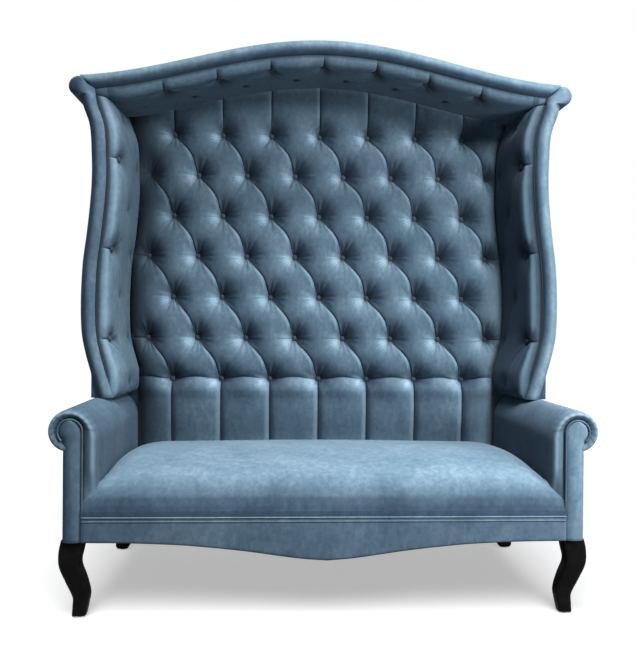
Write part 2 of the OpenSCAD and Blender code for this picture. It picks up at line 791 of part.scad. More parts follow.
// Radii and falls of the rounded edges of a wing's or the hood's padding
edge_round = 40;
crease_round = 24;
low_round = 30;
top_round = 60;
front_fall = 0.85;
crease_fall = 0.3;
low_fall = 0.3;
top_fall = 0.6;
thin_pad_t = 3;
fade_rate = 8;
function wing_face(y, z) =
  let (
    from_front = y - wing_inner_y - gap,
    run = (pad_back_y - wing_inner_y),
    v = (z - wing_row_z) / tuft_z,
    u = (y - wing_column_y) / tuft_x,
    depth_here = u < 0 ? mix(tuft(0, v), channel(v), ease(-u * fade_rate)) : tuft(u, v),
    thick = mix(wing_pad_front_t, wing_pad_back_t, from_front / run),
    ends = min(roundover(z - wing_low_z, low_round, low_fall)
               + roundover(wing_top_z - z, top_round, top_fall), 1),
    fall = max(roundover(from_front, edge_round, front_fall),
               roundover(pad_back_y - y, crease_round, crease_fall))
  )
  wing_base(z) - max((thick - depth_here) * (1 - fall) * (1 - ends), thin_pad_t);
front_shares = [0, 0.2, 0.5];
wing_back_shares = [0.22, 0.45, 0.7, 0.88, 1];
wing_ys = concat([for (s = front_shares) mix(wing_inner_y + gap, wing_column_y, s)],
                 [for (k = [0:4]) wing_column_y + k * grid_x / 2],
                 [for (s = wing_back_shares) mix(wing_column_y + 2 * grid_x, pad_back_y, s)]);
wing_rows = floor((wing_top_z - least_pad_t - tuft_low_z) / grid_z);
wing_zs = concat([wing_low_z + gap], [for (k = [-1:wing_rows]) tuft_low_z + k * grid_z], [wing_top_z]);
module wing_pad(s) {
  color(velvet) side(s) loft([for (z = wing_zs) concat(
    [for (y = wing_ys) [wing_face(y, z), y, z]],
    [[wing_base(z) - 4 * gap, pad_back_y, z], [wing_base(z) - 4 * gap, wing_inner_y + gap, z]])]);
}
module wing_pad_left() { wing_pad(-1); }
module wing_pad_right() { wing_pad(1); }

wing_places = [for (k = [0:tuft_rows])
  [wing_column_y + (k % 2 == 0 ? tuft_x / 2 : 0), tuft_low_z + k * tuft_z / 2]];
module wing_buttons(s) {
  color(velvet) side(s) for (p = wing_places)
    translate([wing_face(p[0], p[1]) - 2 * gap, p[0], p[1]]) rotate([0, -90, 0]) button();
}
module wing_buttons_left() { wing_buttons(-1); }
module wing_buttons_right() { wing_buttons(1); }

// Rolled facings are built in layers that step in towards the front
layers = 5;
layer_start = 0.6;
layer_share = 0.9;
function layer_in(k) = facing_w / 2 * (1 - cos(90 * (k - layer_start) / layers)) * layer_share;
function layer_out(k) = facing_bulge * sin(90 * k / layers);
scroll_from = -107;
scroll_to = 200;
scroll_steps = 24;
module wing_facing(s) {
  color(velvet) side(s) for (k = [1:layers]) {
    inset = layer_in(k);
    r = scroll_r - inset;
    slab_y(wing_inner_y - layer_out(k), wing_inner_y) polygon(concat(
      [for (i = [0:wing_steps]) let (z = wing_z(i)) [wing_x(z) - inset, z + (i == 0 ? inset : 0)]],
      [for (a = [scroll_from:(scroll_to - scroll_from) / scroll_steps:scroll_to])
        [scroll_x + r * cos(a), scroll_z + r * sin(a)]],
      [[wing_base(wing_top_z) + inset, scroll_z + scroll_r * sin(scroll_to) - inset / 2]],
      [for (i = [wing_steps:-1:0]) let (z = wing_z(i))
        [wing_x(z) - facing_w + inset, z + (i == 0 ? inset : 0)]]));
  }
}
module wing_facing_left() { wing_facing(-1); }
module wing_facing_right() { wing_facing(1); }

module wing_roll(s) {
  color(velvet) side(s) translate([scroll_x, post_back_y, scroll_z]) rotate([90, 0, 0])
    cylinder(r = scroll_r, h = post_back_y - wing_inner_y);
}
module wing_roll_left() { wing_roll(-1); }
module wing_roll_right() { wing_roll(1); }

module wing_panel(s) {
  color(velvet) side(s) slab_y(wing_inner_y, post_back_y) wing_band(0, panel_t);
}
module wing_panel_left() { wing_panel(-1); }
module wing_panel_right() { wing_panel(1); }

// Hood
hood_rail_w = 30;
module hood_band(top, low, foot_z) {
  ends = [for (i = [hood_steps:-1:-hood_steps]) hood_end_x * i / hood_steps];
  polygon(concat([for (x = ends) [x, hood_z(x) - top]],
                 [for (i = [-hood_steps:hood_steps]) let (x = hood_end_x * i / hood_steps)
                   [x, abs(i) > hood_steps - 1 ? foot_z : hood_z(x) - low]]));
}
module hood_rail(y, foot_z) {
  color(timber) slab_y(y, y + hood_rail_w)
    hood_band(panel_t, panel_t + hood_rail_t, foot_z);
}
module hood_front_rail() { hood_rail(wing_inner_y, wing_top_z + gap); }
module hood_back_rail() {
  color(timber) {
    hood_rail(post_back_y - hood_rail_w, wing_top_z + gap);
    for (s = [-1, 1]) side(s)
      box([stump_x, post_back_y - hood_rail_w, post_top_z],
          [panel_x - panel_t, post_back_y, hood_base_z(stump_x)]);
  }
}

slat_w = 60;
slat_t = 20;
slat_drop = 4;
module hood_slats() {
  color(timber) for (s = [-1.5, -0.5, 0.5, 1.5]) let (x = s * stump_x / 2)
    translate([x, 0, hood_z(x) - panel_t - slat_t - slat_drop]) rotate([0, hood_tilt(x), 0])
    box([-slat_w / 2, wing_inner_y + hood_rail_w, 0], [slat_w / 2, post_back_y - hood_rail_w, slat_t]);
}
function hood_tilt(x) = atan2(hood_z(x - 1) - hood_z(x + 1), 2);

hood_row_y = wing_y + hood_row_in;
soffit_end_z = wing_top_z + bite;
hood_ends_out = 38;
hood_ends = stump_x + hood_ends_out;
hood_front_fall = 0.8;
fade_from = 20;
fade_over = 60;
function hood_soffit_z(x) = max(hood_base_z(x) - hood_pad_t, soffit_end_z);
function hood_face(x, y) =
  let (
    from_front = y - wing_inner_y - gap,
    u = x / tuft_x,
    v = (y - hood_row_y) / tuft_x,
    depth_here = v < 0 ? mix(tuft(u, 0), channel(u), ease(-v * fade_rate)) : tuft(u, v),
    fall = max(roundover(from_front, edge_round, hood_front_fall),
               roundover(pad_back_y - y, crease_round, crease_fall)),
    side_fade = ease((arm_inner_x + fade_from - abs(x)) / fade_over),
    low = hood_soffit_z(x)
  )
  min(low + (depth_here * (1 - fall) + fall * hood_pad_t * hood_front_fall) * side_fade,
      hood_base_z(x) - thin_pad_t);
hood_columns = ceil((hood_ends - least_pad_t) / grid_x);
hood_back_shares = [0.3, 0.6, 0.85, 1];
hood_xs = [for (i = [-hood_columns:hood_columns])
  abs(i) == hood_columns ? sign(i) * hood_ends : i * grid_x];
hood_ys = concat([for (s = front_shares) mix(wing_inner_y + gap, hood_row_y, s)],
                 [for (k = [0:4]) hood_row_y + k * grid_x / 2],
                 [for (s = hood_back_shares) mix(hood_row_y + 2 * grid_x, pad_back_y, s)]);
module hood_pad() {
  color(velvet) loft([for (x = hood_xs) concat(
    [for (y = hood_ys) [x, y, hood_face(x, y)]],
    [[x, pad_back_y, hood_base_z(x) - gap], [x, wing_inner_y + gap, hood_base_z(x) - gap]])],
    turned = true);
}

hood_places = [for (k = [0, 1], i = [-most_buttons:most_buttons])
  let (x = (i + k / 2) * tuft_x) if (abs(x) < arm_inner_x - fade_over)
    [x, hood_row_y + k * tuft_x / 2]];
module hood_buttons() {
  color(velvet) for (p = hood_places)
    translate([p[0], p[1], hood_face(p[0], p[1]) - 2 * gap]) rotate([180, hood_tilt(p[0]), 0]) button();
}

module hood_facing() {
  end_x = hood_end_x;
  color(velvet) for (k = [1:layers]) {
    inset = layer_in(k);
    slab_y(wing_inner_y - layer_out(k), wing_inner_y)
      hood_band(inset, facing_w - inset, hood_z(end_x) - facing_w + inset);
  }
}

module hood_panel() {
  color(velvet) slab_y(wing_inner_y, post_back_y)
    hood_band(0, panel_t, hood_z(hood_end_x) - panel_t);
}

dust_t = 1.4;
module dust_cover() {
  side_x = side_rail_x - border_lap;
  low_y = stump_y + rail_t + cloth_in;
  mid_y = post_y - cloth_in;
  high_y = post_y + back_rail_t - cloth_in;
  x = stump_x - cloth_in;
  color("dimgray") translate([0, 0, rail_z - dust_t]) linear_extrude(dust_t)
    polygon([[-side_x, low_y], [side_x, low_y], [side_x, mid_y], [x, mid_y], [x, high_y],
             [-x, high_y], [-x, mid_y], [-side_x, mid_y]]);
}

front_leg_left();
front_leg_right();
rear_leg_left();
rear_leg_right();
leg_glides();
leg_bolts();
corner_blocks();
front_rail();
back_rail();
side_rail_left();
side_rail_right();
seat_stretchers();
seat_springs();
spring_clips();
spring_hessian();
seat_foam();
seat_pad();
seat_border();
seat_welt();
arm_stump_left();
arm_stump_right();
arm_rail_left();
arm_rail_right();
arm_pad_left();
arm_pad_right();
arm_facing_left();
arm_facing_right();
arm_welt_left();
arm_welt_right();
arm_panel_left();
arm_panel_right();
back_post_left();
back_post_right();
back_mid_rail();
back_top_rail();
back_webbing();
back_pad();
back_buttons();
back_cover();
wing_frame_left();
wing_frame_right();
wing_pad_left();
wing_pad_right();
wing_buttons_left();
wing_buttons_right();
wing_facing_left();
wing_facing_right();
wing_roll_left();
wing_roll_right();
wing_panel_left();
wing_panel_right();
hood_front_rail();
hood_back_rail();
hood_slats();
hood_pad();
hood_buttons();
hood_facing();
hood_panel();
dust_cover();
frame_screws();
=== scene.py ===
# Chesterfield settee with a winged, hooded back in steel-blue velvet, dressed around its CAD frame.
# Metres throughout. The front faces -Y, the floor is z = 0 and x = 0 is the middle.
# Left and right are seen from the front, so left is -X.
import json
import math

import bmesh
import bpy
import numpy as np
from mathutils import Matrix, Vector


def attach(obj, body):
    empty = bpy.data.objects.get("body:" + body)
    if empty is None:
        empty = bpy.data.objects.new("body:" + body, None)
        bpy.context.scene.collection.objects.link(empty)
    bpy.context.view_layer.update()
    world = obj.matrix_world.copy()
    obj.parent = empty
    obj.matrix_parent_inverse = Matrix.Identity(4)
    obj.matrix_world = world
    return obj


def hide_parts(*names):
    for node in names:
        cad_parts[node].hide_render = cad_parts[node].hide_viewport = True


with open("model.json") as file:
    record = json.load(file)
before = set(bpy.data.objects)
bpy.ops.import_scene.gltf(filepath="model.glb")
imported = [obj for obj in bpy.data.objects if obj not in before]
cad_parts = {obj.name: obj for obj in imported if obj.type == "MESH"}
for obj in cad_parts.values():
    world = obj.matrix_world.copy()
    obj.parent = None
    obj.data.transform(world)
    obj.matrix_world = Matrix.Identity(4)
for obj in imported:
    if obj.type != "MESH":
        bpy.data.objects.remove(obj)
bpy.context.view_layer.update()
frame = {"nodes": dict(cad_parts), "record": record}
bpy.context.scene.view_settings.view_transform = "Standard"

# Camera: the photograph's view, fitted to some forty points of the sofa.
# It stands low, a little left of the middle, and looks slightly to the right.
camera_place = Vector((-0.123, -2.430, 0.808))
yaw, pitch, roll = math.radians(2.64), math.radians(0.31), math.radians(0.48)
camera_data = bpy.data.cameras.new("camera")
camera_data.lens = 42.66
camera_data.sensor_width = 36
camera = bpy.data.objects.new("camera", camera_data)
camera.matrix_world = (
    Matrix.Translation(camera_place)
    @ Matrix.Rotation(-yaw, 4, "Z")
    @ Matrix.Rotation(math.pi / 2 - pitch, 4, "X")
    @ Matrix.Rotation(roll, 4, "Z")
)
bpy.context.scene.collection.objects.link(camera)
bpy.context.scene.camera = camera

# Light: broad suns from above and from behind, a lamp on the right in front and one low beside the arm.
# The camera sees the studio as white, while a much greyer one lights the sofa.
# The floor has a sun of its own, so the sofa's lamps don't change it.
sofa_lit = bpy.data.collections.new("sofa_lit")
floor_lit = bpy.data.collections.new("floor_lit")
for name, strength, spread, azimuth, elevation, lit in (
    ("overhead", 5.6, 36, 8, 72, sofa_lit),
    ("rim", 3.0, 60, 150, 35, sofa_lit),
    ("floor_lamp", 2.7, 40, 0, 55, floor_lit),
):
    lamp = bpy.data.lights.new(name, "SUN")
    lamp.energy = strength
    lamp.angle = math.radians(spread)
    lamp_object = bpy.data.objects.new(name, lamp)
    lamp_object.rotation_euler = (math.radians(90 - elevation), 0, math.radians(azimuth))
    lamp_object.light_linking.receiver_collection = lit
    bpy.context.scene.collection.objects.link(lamp_object)
for name, power, size, place, aim in (
    ("key", 67, 0.6, (0.82, -1.60, 2.15), (0.1, 0.1, 0.85)),
    ("side", 26, 0.5, (1.30, -1.30, 0.85), (0.68, -0.36, 0.5)),
):
    lamp = bpy.data.lights.new(name, "AREA")
    lamp.shape = "DISK"
    lamp.size = size
    lamp.energy = power
    lamp_object = bpy.data.objects.new(name, lamp)
    turned = (Vector(aim) - Vector(place)).to_track_quat("-Z", "Y").to_matrix().to_4x4()
    lamp_object.matrix_world = Matrix.Translation(place) @ turned
    lamp_object.light_linking.receiver_collection = sofa_lit
    bpy.context.scene.collection.objects.link(lamp_object)


class Wire:
    """What a shader node gives out. Sums and products of wires add their Math nodes."""

    def __init__(self, shading, socket):
        self.shading, self.socket = shading, socket

    def math(self, operation, first, second):
        return self.shading.node("Math", {0: first, 1: second}, operation=operation)

    def __add__(self, other):
        return self.math("ADD", self, other)

    def __sub__(self, other):
        return self.math("SUBTRACT", self, other)

    def __rsub__(self, other):
        return self.math("SUBTRACT", other, self)

    def __mul__(self, other):
        return self.math("MULTIPLY", self, other)

    __radd__, __rmul__ = __add__, __mul__

    def between(self, low, high):
        """A wire that goes from 0 at the low value to 1 at the high one."""
        return self.shading.node("MapRange", {"Value": self, "From Min": low, "From Max": high}, "Result")


class Shading:
    """The node tree of the studio's world or of a finish."""

    def __init__(self, tree):
        self.tree = tree

    def feed(self, socket, item):
        """Links a wire to a socket, or gives it a value. A colour is written without its alpha."""
        if isinstance(item, Wire):
            self.tree.links.new(item.socket, socket)
        else:
            socket.default_value = (*item, 1) if socket.type == "RGBA" else item

    def node(self, kind, feeds, output=0, stops=(), **settings):
        """A new node: its settings and a ramp's stops are set first, then its sockets are fed."""
        node = self.tree.nodes.new("ShaderNode" + kind)
        for name, setting in settings.items():
            setattr(node, name, setting)
        if stops:
            for _ in stops[2:]:
                node.color_ramp.elements.new(0.5)
            for element, (position, colour) in zip(node.color_ramp.elements, stops):
                element.position = position
                element.color = (*colour, 1)
        for socket, item in feeds.items():
            self.feed(node.inputs[socket], item)
        return Wire(self, node.outputs[output])

    def mixed(self, amount, first, second):
        return self.node("Mix", {"Factor": amount, "A": first, "B": second}, "Result", data_type="RGBA")


world = bpy.data.worlds.new("studio")
world.use_nodes = True
bpy.context.scene.world = world
studio = Shading(world.node_tree)
studio_seen = studio.node("LightPath", {}, "Is Camera Ray")
studio_tone = studio.mixed(studio_seen, (0.08, 0.085, 0.095), (1, 1, 1))
studio.feed(studio.tree.nodes["Background"].inputs["Color"], studio_tone)

# Floor: a plain pale studio floor, which keeps the sofa's soft shadow.
# It is matt, and a little of its white is its own so that it meets the white studio.
floor_half = 9.0
floor_glow = 0.44


class Finish(Shading):
    """A new material: its main shader and the patterns that feed it."""

    def __init__(self, name, **sockets):
        self.material = bpy.data.materials.new(name)
        self.material.use_nodes = True
        super().__init__(self.material.node_tree)
        self.shader = self.tree.nodes["Principled BSDF"]
        self.place = self.node("TexCoord", {}, "Object")
        self.give(**sockets)

    def give(self, **sockets):
        """Feeds sockets of the main shader. An underscore stands for a space in a socket's name."""
        for name, item in sockets.items():
            self.feed(self.shader.inputs[name.replace("_", " ")], item)

    def noise(self, scale, detail=2, rough=0.5, warp=0, stretch=None):
        place = self.node("Mapping", {"Vector": self.place, "Scale": stretch}) if stretch else self.place
        return self.node("TexNoise", {"Vector": place, "Scale": scale, "Detail": detail,
                                      "Roughness": rough, "Distortion": warp}, "Fac")

    def attribute(self, name):
        return self.node("Attribute", {}, "Fac", attribute_name=name)

    def colours(self, amount, *stops):
        return self.node("ValToRGB", {"Fac": amount}, "Color", stops)

    def bump(self, height, strength, distance):
        self.give(Normal=self.node(
            "Bump", {"Height": height, "Strength": strength, "Distance": distance}, "Normal"))


floor_finish = Finish("floor", Roughness=0.9, Emission_Color=(1, 1, 1))
floor_tone = floor_finish.noise(1.5, 3).between(0.2, 0.8)
floor_seen = floor_finish.node("LightPath", {}, "Is Camera Ray")
floor_finish.give(
    Base_Color=floor_finish.colours(floor_tone, (0, (0.80, 0.80, 0.80)), (1, (0.82, 0.82, 0.82))),
    Emission_Strength=floor_seen * floor_glow)
floor_mesh = bpy.data.meshes.new("floor")
floor_mesh.from_pydata(
    [(x * floor_half, y * floor_half, 0) for x, y in ((-1, -1), (1, -1), (1, 1), (-1, 1))],
    [], [(0, 1, 2, 3)])
floor = bpy.data.objects.new("floor", floor_mesh)
floor.data.materials.append(floor_finish.material)
bpy.context.scene.collection.objects.link(floor)
sofa_lit.objects.link(floor)
sofa_lit.collection_objects[0].light_linking.link_state = "EXCLUDE"
floor_lit.objects.link(floor)

# Velvet: short cotton pile, steel blue, with painted light and shade by facing.
# A surface is painted lighter the more it faces a set way, up, right and to the front, and darker facing
# away;
# an attribute of each piece says how far it faces that way, and varies in soft patches with the nap's tone.
# The other attribute is painted shade above 0, in folds, creases and seams, and painted highlight below 0,
# where gathered pile would catch the light.
pile_lean = Vector((0.60, -0.36, 0.72)).normalized()
painted_shade_colour, painted_highlight_colour = (0.008, 0.013, 0.020), (0.25, 0.37, 0.46)
velvet = Finish("velvet", Specular_IOR_Level=0.12, Sheen_Weight=0.12, Sheen_Roughness=0.35,
                Sheen_Tint=(0.55, 0.76, 0.95))
patches = velvet.noise(5, 3, 0.55, 0.8)
brushed = velvet.noise(1.0, 3, 0.6, 0.5, stretch=(48, 48, 20))
blotches = velvet.noise(75, 3, 0.65, 0.4)
fibres = velvet.noise(900, 2, 0.6)
nap = (patches * 0.3 + brushed * 0.3 + blotches * 0.32 + fibres * 0.08).between(0.36, 0.64)
with_pile = velvet.colours(nap, (0, (0.060, 0.104, 0.145)), (0.5, (0.088, 0.142, 0.188)),
                           (1, (0.135, 0.196, 0.245)))
against_pile = velvet.colours(nap, (0, (0.012, 0.024, 0.041)), (0.5, (0.019, 0.036, 0.058)),
                              (1, (0.027, 0.048, 0.075)))
# Painted light and shade by facing mixes the lit and shaded colours; the other attribute then paints shade
# and highlight.
lie = (velvet.attribute("lie") + (patches - 0.5) * 0.14).between(-0.08, 0.82)
painted_shade_and_light = velvet.attribute("painted_shade_and_light")
painted_facing_colour = velvet.mixed(lie, against_pile, with_pile)
highlit_colour = velvet.mixed(painted_shade_and_light.between(0, -1), painted_facing_colour, painted_highlight_colour)
velvet.give(Base_Color=velvet.mixed(painted_shade_and_light.between(0, 1), highlit_colour, painted_shade_colour),
            Roughness=nap * 0.12 + 0.82)
velvet.bump(fibres + blotches * 0.8 + brushed * 0.8, 0.3, 0.0008)

# Back pad: deep-buttoned velvet over foam and fibre, sewn into straight pleats below and above.
# The twine of each button pulls the cover down to the webbing, and the folds between are pleated.
# Its width follows the arms below and the insides of the wings above, and its top follows the hood.
tuft_x, tuft_z, tuft_low_z, tuft_rows = 0.168, 0.283, 0.606, 6
button_pitch = (tuft_x, tuft_z / 2)
button_depth, pleat_depth, channel_arch, channel_arch_rows = 0.054, 0.013, 0.009, 0.3
funnel_r, back_bend, back_last_column, low_tuck = 0.040, 0.10, 3.5, 0.014
crease_x, stump_x = 0.6167, 0.661
pad_face_y, back_crease_y, post_y = 0.243, 0.259, 0.308
seat_back_z, back_low_z, behind_seat = 0.396, 0.300, 0.02
back_edge, lumbar = 0.090, 0.025
crest_shares = ((0, 0), (0.08, 0.5), (0.22, 1), (0.45, 0.75), (0.75, 0.3), (0.93, 0.06), (1.06, 0), (1.2, 0))
widen_z, widen_run, seam_gap, tuck_in = 0.56, 0.05, 0.001, 0.004
# Painted shade at the back pad's edges, left end and top, and a painted highlight at its right end:
calm_edge, dark_edge, dark_edge_r = 0.10, 0.03, 0.014
dark_left_r, light_right_r, dark_top_z, dark_top_run = 0.095, 0.07, 1.05, 0.2
edge_shade, left_shade, top_shade, right_painted_highlight = 0.8, 0.8, 0.13, 0.22
hood_height, hood_rise, hood_arch = 1.690, 0.127, 0.830
hood_shell, hood_pad_t = 0.033, 0.044
wing_low_z, wing_top_z = 0.5653, 1.502
wing_inner_y, pad_back_y, wing_back_t = -0.005, 0.2587, 0.060
belly_x, waist_x, facing_w = 0.750, 0.719, 0.045
wing_shares = ((0, -0.81), (0.081, -0.065), (0.154, 0.55), (0.217, 0.9), (0.317, 1), (0.444, 0.84),
               (0.548, 0.45), (0.641, 0.16), (0.723, 0), (0.803, 0.02), (0.903, 0.24), (0.968, 0.9),
               (1, 1.08))
straight_share = 0.081


def smooth(table, t):
    """A smooth curve through rows of a place and a value."""
    rows = np.asarray(table, float)
    places, values = rows[:, 0], rows[:, 1]
    high = np.minimum(np.arange(len(rows)) + 1, len(rows) - 1)
    low = np.maximum(np.arange(len(rows)) - 1, 0)
    rises = (values[high] - values[low]) / (places[high] - places[low])
    t = np.clip(t, places[0], places[-1])
    i = np.clip(np.searchsorted(places, t, side="right") - 1, 0, len(rows) - 2)
    span = places[i + 1] - places[i]
    u = (t - places[i]) / span
    return (values[i] * (2 * u**3 - 3 * u**2 + 1) + values[i + 1] * (3 * u**2 - 2 * u**3)
            + span * (rises[i] * (u**3 - 2 * u**2 + u) + rises[i + 1] * (u**3 - u**2)))


def ease(share):
    """Goes softly from 0 to 1 while the share does."""
    share = np.clip(share, 0, 1)
    return share * share * (3 - 2 * share)


def bell(distance, width, power=2):
    """1 at no distance, and falling off over a width."""
    return np.exp(-((distance / width) ** power))


def roundover(distance, radius):
    """Fall of a rounded edge, from 1 on the edge to 0 at a radius from it."""
    inside = np.clip(1 - distance / radius, 0, 1)
    return 1 - np.sqrt(1 - inside**2)


def dense(count):
    """Shares from 0 to 1, closer together at both ends."""
    return 0.5 - 0.5 * np.cos(np.linspace(0, np.pi, count + 1))


def hood_z(x):
    """Top of the hood's arch."""
    return hood_height - hood_rise + hood_rise * (1 + np.cos(np.pi * x / hood_arch)) / 2


def soffit_z(x):
    """Underside of the hood's pad."""
    return np.maximum(hood_z(x) - hood_shell - hood_pad_t, wing_top_z + seam_gap)


def wing_x(z):
    """Outer edge of a wing, seen from the front."""
    return waist_x + (belly_x - waist_x) * smooth(wing_shares, (z - wing_low_z) / (wing_top_z - wing_low_z))


def wing_side(z):
    """Outside of a wing, which stays straight just above the arm."""
    return wing_x(np.maximum(z, wing_low_z + straight_share * (wing_top_z - wing_low_z)))


def back_edge_x(z):
    """Half width of the back pad."""
    inside = wing_side(z) - facing_w - wing_back_t + tuck_in
    return crease_x + (np.maximum(inside, crease_x - tuck_in) - crease_x) * ease((z - widen_z) / widen_run)


def back_crest(z):
    """Depth at which the back pad's crests lie, fullest at the small of the back."""
    top = tuft_low_z + tuft_rows * tuft_z / 2
    return pad_face_y - lumbar * smooth(crest_shares, (z - seat_back_z) / (top - seat_back_z))


def swing(t, bend):
    """Sideways swing of a pleat on its way from button to button."""
    return bend * np.sin(np.pi * t) ** 2


def pleat_columns(rows, top, first, last, bend, per_cell):
    """Places across of a tufted grid, whose lines follow the pleats from button to button."""
    inner = np.clip(rows, 0, top)[:, None]
    band = np.floor(inner)
    t = inner - band
    lines = np.arange(2 * math.floor(np.min(first)) - 4, 2 * math.ceil(np.max(last)) + 5)[None, :]
    whole, odd_line = lines // 2, lines % 2 == 1
    falling, rising = -t / 2 + swing(t, bend), t / 2
    even_band = np.where(odd_line, whole + rising, whole + falling)
    odd_band = np.where(odd_line, whole + 0.5 + falling, whole - 0.5 + rising)
    places = np.where(band % 2 == 0, even_band, odd_band)
    shares = dense(per_cell)[:-1]
    grid = places[:, :-1, None] + shares * np.diff(places, axis=1)[:, :, None]
    return np.clip(grid.reshape(len(rows), -1), np.reshape(first, (-1, 1)), np.reshape(last, (-1, 1)))


# Values for the tufts: their pleats and buttons, and the strengths of their painted shade and painted
# highlight.
rising_power, falling_power, edge_power, near_power, near_least = 0.18, 0.6, 0.3, 6, 0.1
column_fade, cross_fade, straight_start = 0.1, 0.012, 0.03
gather_r, gather_w, gather_depth = 0.034, 0.020, 0.0012
gathers_least, gathers_more, gather_phase = 12, 4, 6.28
broad_gathers, broad_share, broad_phase = 7, 0.6, 29
dimple_power, pit_r, pit_dark, fold_dark = 1.2, 0.013, 0.7, 0.35
fan_r, fan_way, fan_power, fan_dark, fan_change, fan_rays, fan_phase = 0.042, 0.85, 0.9, 0.92, 0.38, 23, 40
glint_r, glint_w, glint_way, glint_power = 0.026, 0.018, -2.72, 5
glint_light, glint_change, glint_rays, glint_phase = 0.62, 0.3, 27, 50
tuck_r, swell_low, swell_r, swell_share = 0.013, 0.034, 0.022, 0.7
lit_beside, lit_w, lit_most, lit_straight = -0.045, 0.022, 0.36, 1.1
dark_beside, dark_w, channel_dark = 0.05, 0.06, 0.62
most_lit, most_dark = -0.8, 0.9


def chance(row, column):
    """A share that differs from button to button."""
    return np.modf(np.abs(np.sin(row * 12.9898 + column * 78.233)) * 43758.5453)[0]


def tuft(across, rows, top, pitch, bend, sunk, funnel, pleat, front_pleat, behind=1.0, tucked=0.0, last=99):
    """Depth in metres and painted shade of a tufted cover, whose buttons sit at whole rows from 0 to top.

    The shade is painted into the velvet: painted shade above 0 in folds, pits, fans and channels,
    and painted highlight below 0. Behind says how strong the tufts are past the first row."""
    inner = np.clip(rows, 0, top)
    off_grid = np.abs(rows - inner) * pitch[1]
    straight = 1 - np.exp(-off_grid / straight_start)
    t = inner - np.floor(inner)
    # Crisp pleats rise from button to button with a swing, and soft ones fall between them.
    rising = across + inner / 2 - swing(t, bend)
    falling = across - inner / 2
    beside = rising - np.round(rising)
    crease_up = 1 - np.abs(np.sin(np.pi * rising)) ** rising_power
    crease_down = 1 - np.abs(np.sin(np.pi * falling)) ** falling_power
    near_crease = near_least + (1 - near_least) * np.abs(np.cos(np.pi * rising)) ** near_power
    folds = 1 - (1 - crease_up) * (1 - crease_down * near_crease * np.exp(-off_grid / cross_fade))
    # Past the last column the pleats run straight out to the edge.
    outside = ease((np.abs(across) - last) / column_fade)
    folds = folds * (1 - outside) + outside * (1 - np.abs(np.cos(np.pi * inner / 2)) ** edge_power)
    # Painted highlight: the pile beside a rising pleat is painted lighter, where it would catch the light.
    painted_highlight = lit_most * bell(beside - lit_beside, lit_w) * (np.sin(np.pi * t) ** 0.5 + lit_straight * straight)
    painted_highlight = painted_highlight * (1 - outside)
    # Each button has a funnel and gathers round it, painted shade in its pit, a painted fan of dark creases,
    # and a painted glint on its other side.
    dimple, gathers, shade = 0.0, 0.0, 0.0
    for row in np.floor(inner) + np.arange(-1, 3).reshape(-1, *[1] * inner.ndim):
        column = across - row / 2
        for whole in (np.floor(column), np.floor(column) + 1):
            dx, dz = (column - whole) * pitch[0], (rows - row) * pitch[1]
            reach, angle = np.hypot(dx, dz), np.arctan2(dz, dx)
            here = (row >= 0) * (row <= top) * np.where(row > 0, behind, 1.0)
            here = here * (np.abs(whole + row / 2) < last + 0.01)
            seed = chance(row, whole)
            dimple = dimple + here * (sunk - pleat) * bell(reach, funnel, dimple_power)
            ripple = np.cos(angle * (gathers_least + np.round(seed * gathers_more)) + seed * gather_phase)
            ripple = ripple + broad_share * np.cos(angle * broad_gathers + seed * broad_phase)
            gathers = gathers + here * ripple * bell(reach - gather_r, gather_w) * gather_depth
            fan = bell(reach, fan_r) * np.clip(np.cos(angle - fan_way), 0, 1) ** fan_power
            fan = fan * (fan_dark + fan_change * np.cos(angle * fan_rays + seed * fan_phase))
            glint = bell(reach - glint_r, glint_w) * np.clip(np.cos(angle - glint_way), 0, 1) ** glint_power
            rays = glint_light + glint_change * np.cos(angle * glint_rays + seed * glint_phase)
            painted_highlight = painted_highlight + here * glint * rays
            shade = shade + here * (bell(reach, pit_r) * pit_dark + fan)
    # The cover is tucked under the lowest row and swells below it; its channels get painted shade.
    under = -rows * pitch[1]
    tuck = tucked * np.exp(-np.abs(under) / tuck_r) - tucked * swell_share * bell(under - swell_low, swell_r)
    deep = pleat + (front_pleat - pleat) * ease(0.5 - rows * 2)
    depth = deep * folds + dimple + tuck * (1 - folds) + gathers
    channel = channel_dark * bell(beside - dark_beside, dark_w) * (rows < 0) * straight
    # Painted shade in the pleats' folds as well, with the painted highlight taken off it.
    shade = np.clip(shade + folds**4 * fold_dark + channel, 0, most_dark)
    return depth, np.clip(shade - painted_highlight, most_lit, most_dark)


def loft(name, rings, folds=None):
    """A closed form through rings of equally many points, with its velvet's painted shade and highlight."""
    rings = np.asarray(rings, float)
    rows, count = rings.shape[:2]
    index = np.arange(rows * count).reshape(rows, count)
    low, high = index[:-1], index[1:]
    quads = np.stack([low, np.roll(low, -1, 1), np.roll(high, -1, 1), high], -1).reshape(-1, 4)
    mesh = bpy.data.meshes.new(name)
    mesh.from_pydata(rings.reshape(-1, 3).tolist(), [],
                     quads.tolist() + [index[0][::-1].tolist(), index[-1].tolist()])
    shade = mesh.attributes.new("painted_shade_and_light", "FLOAT", "POINT")
    if folds is not None:
        shade.data.foreach_set("value", np.asarray(folds, np.float32).ravel())
    form = bmesh.new()
    form.from_mesh(mesh)
    bmesh.ops.remove_doubles(form, verts=form.verts, dist=2e-5)
    bmesh.ops.dissolve_degenerate(form, edges=form.edges, dist=1e-6)
    bmesh.ops.recalc_face_normals(form, faces=form.faces)
    form.to_mesh(mesh)
    form.free()
    mesh.shade_smooth()
    return bpy.data.objects.new(name, mesh)


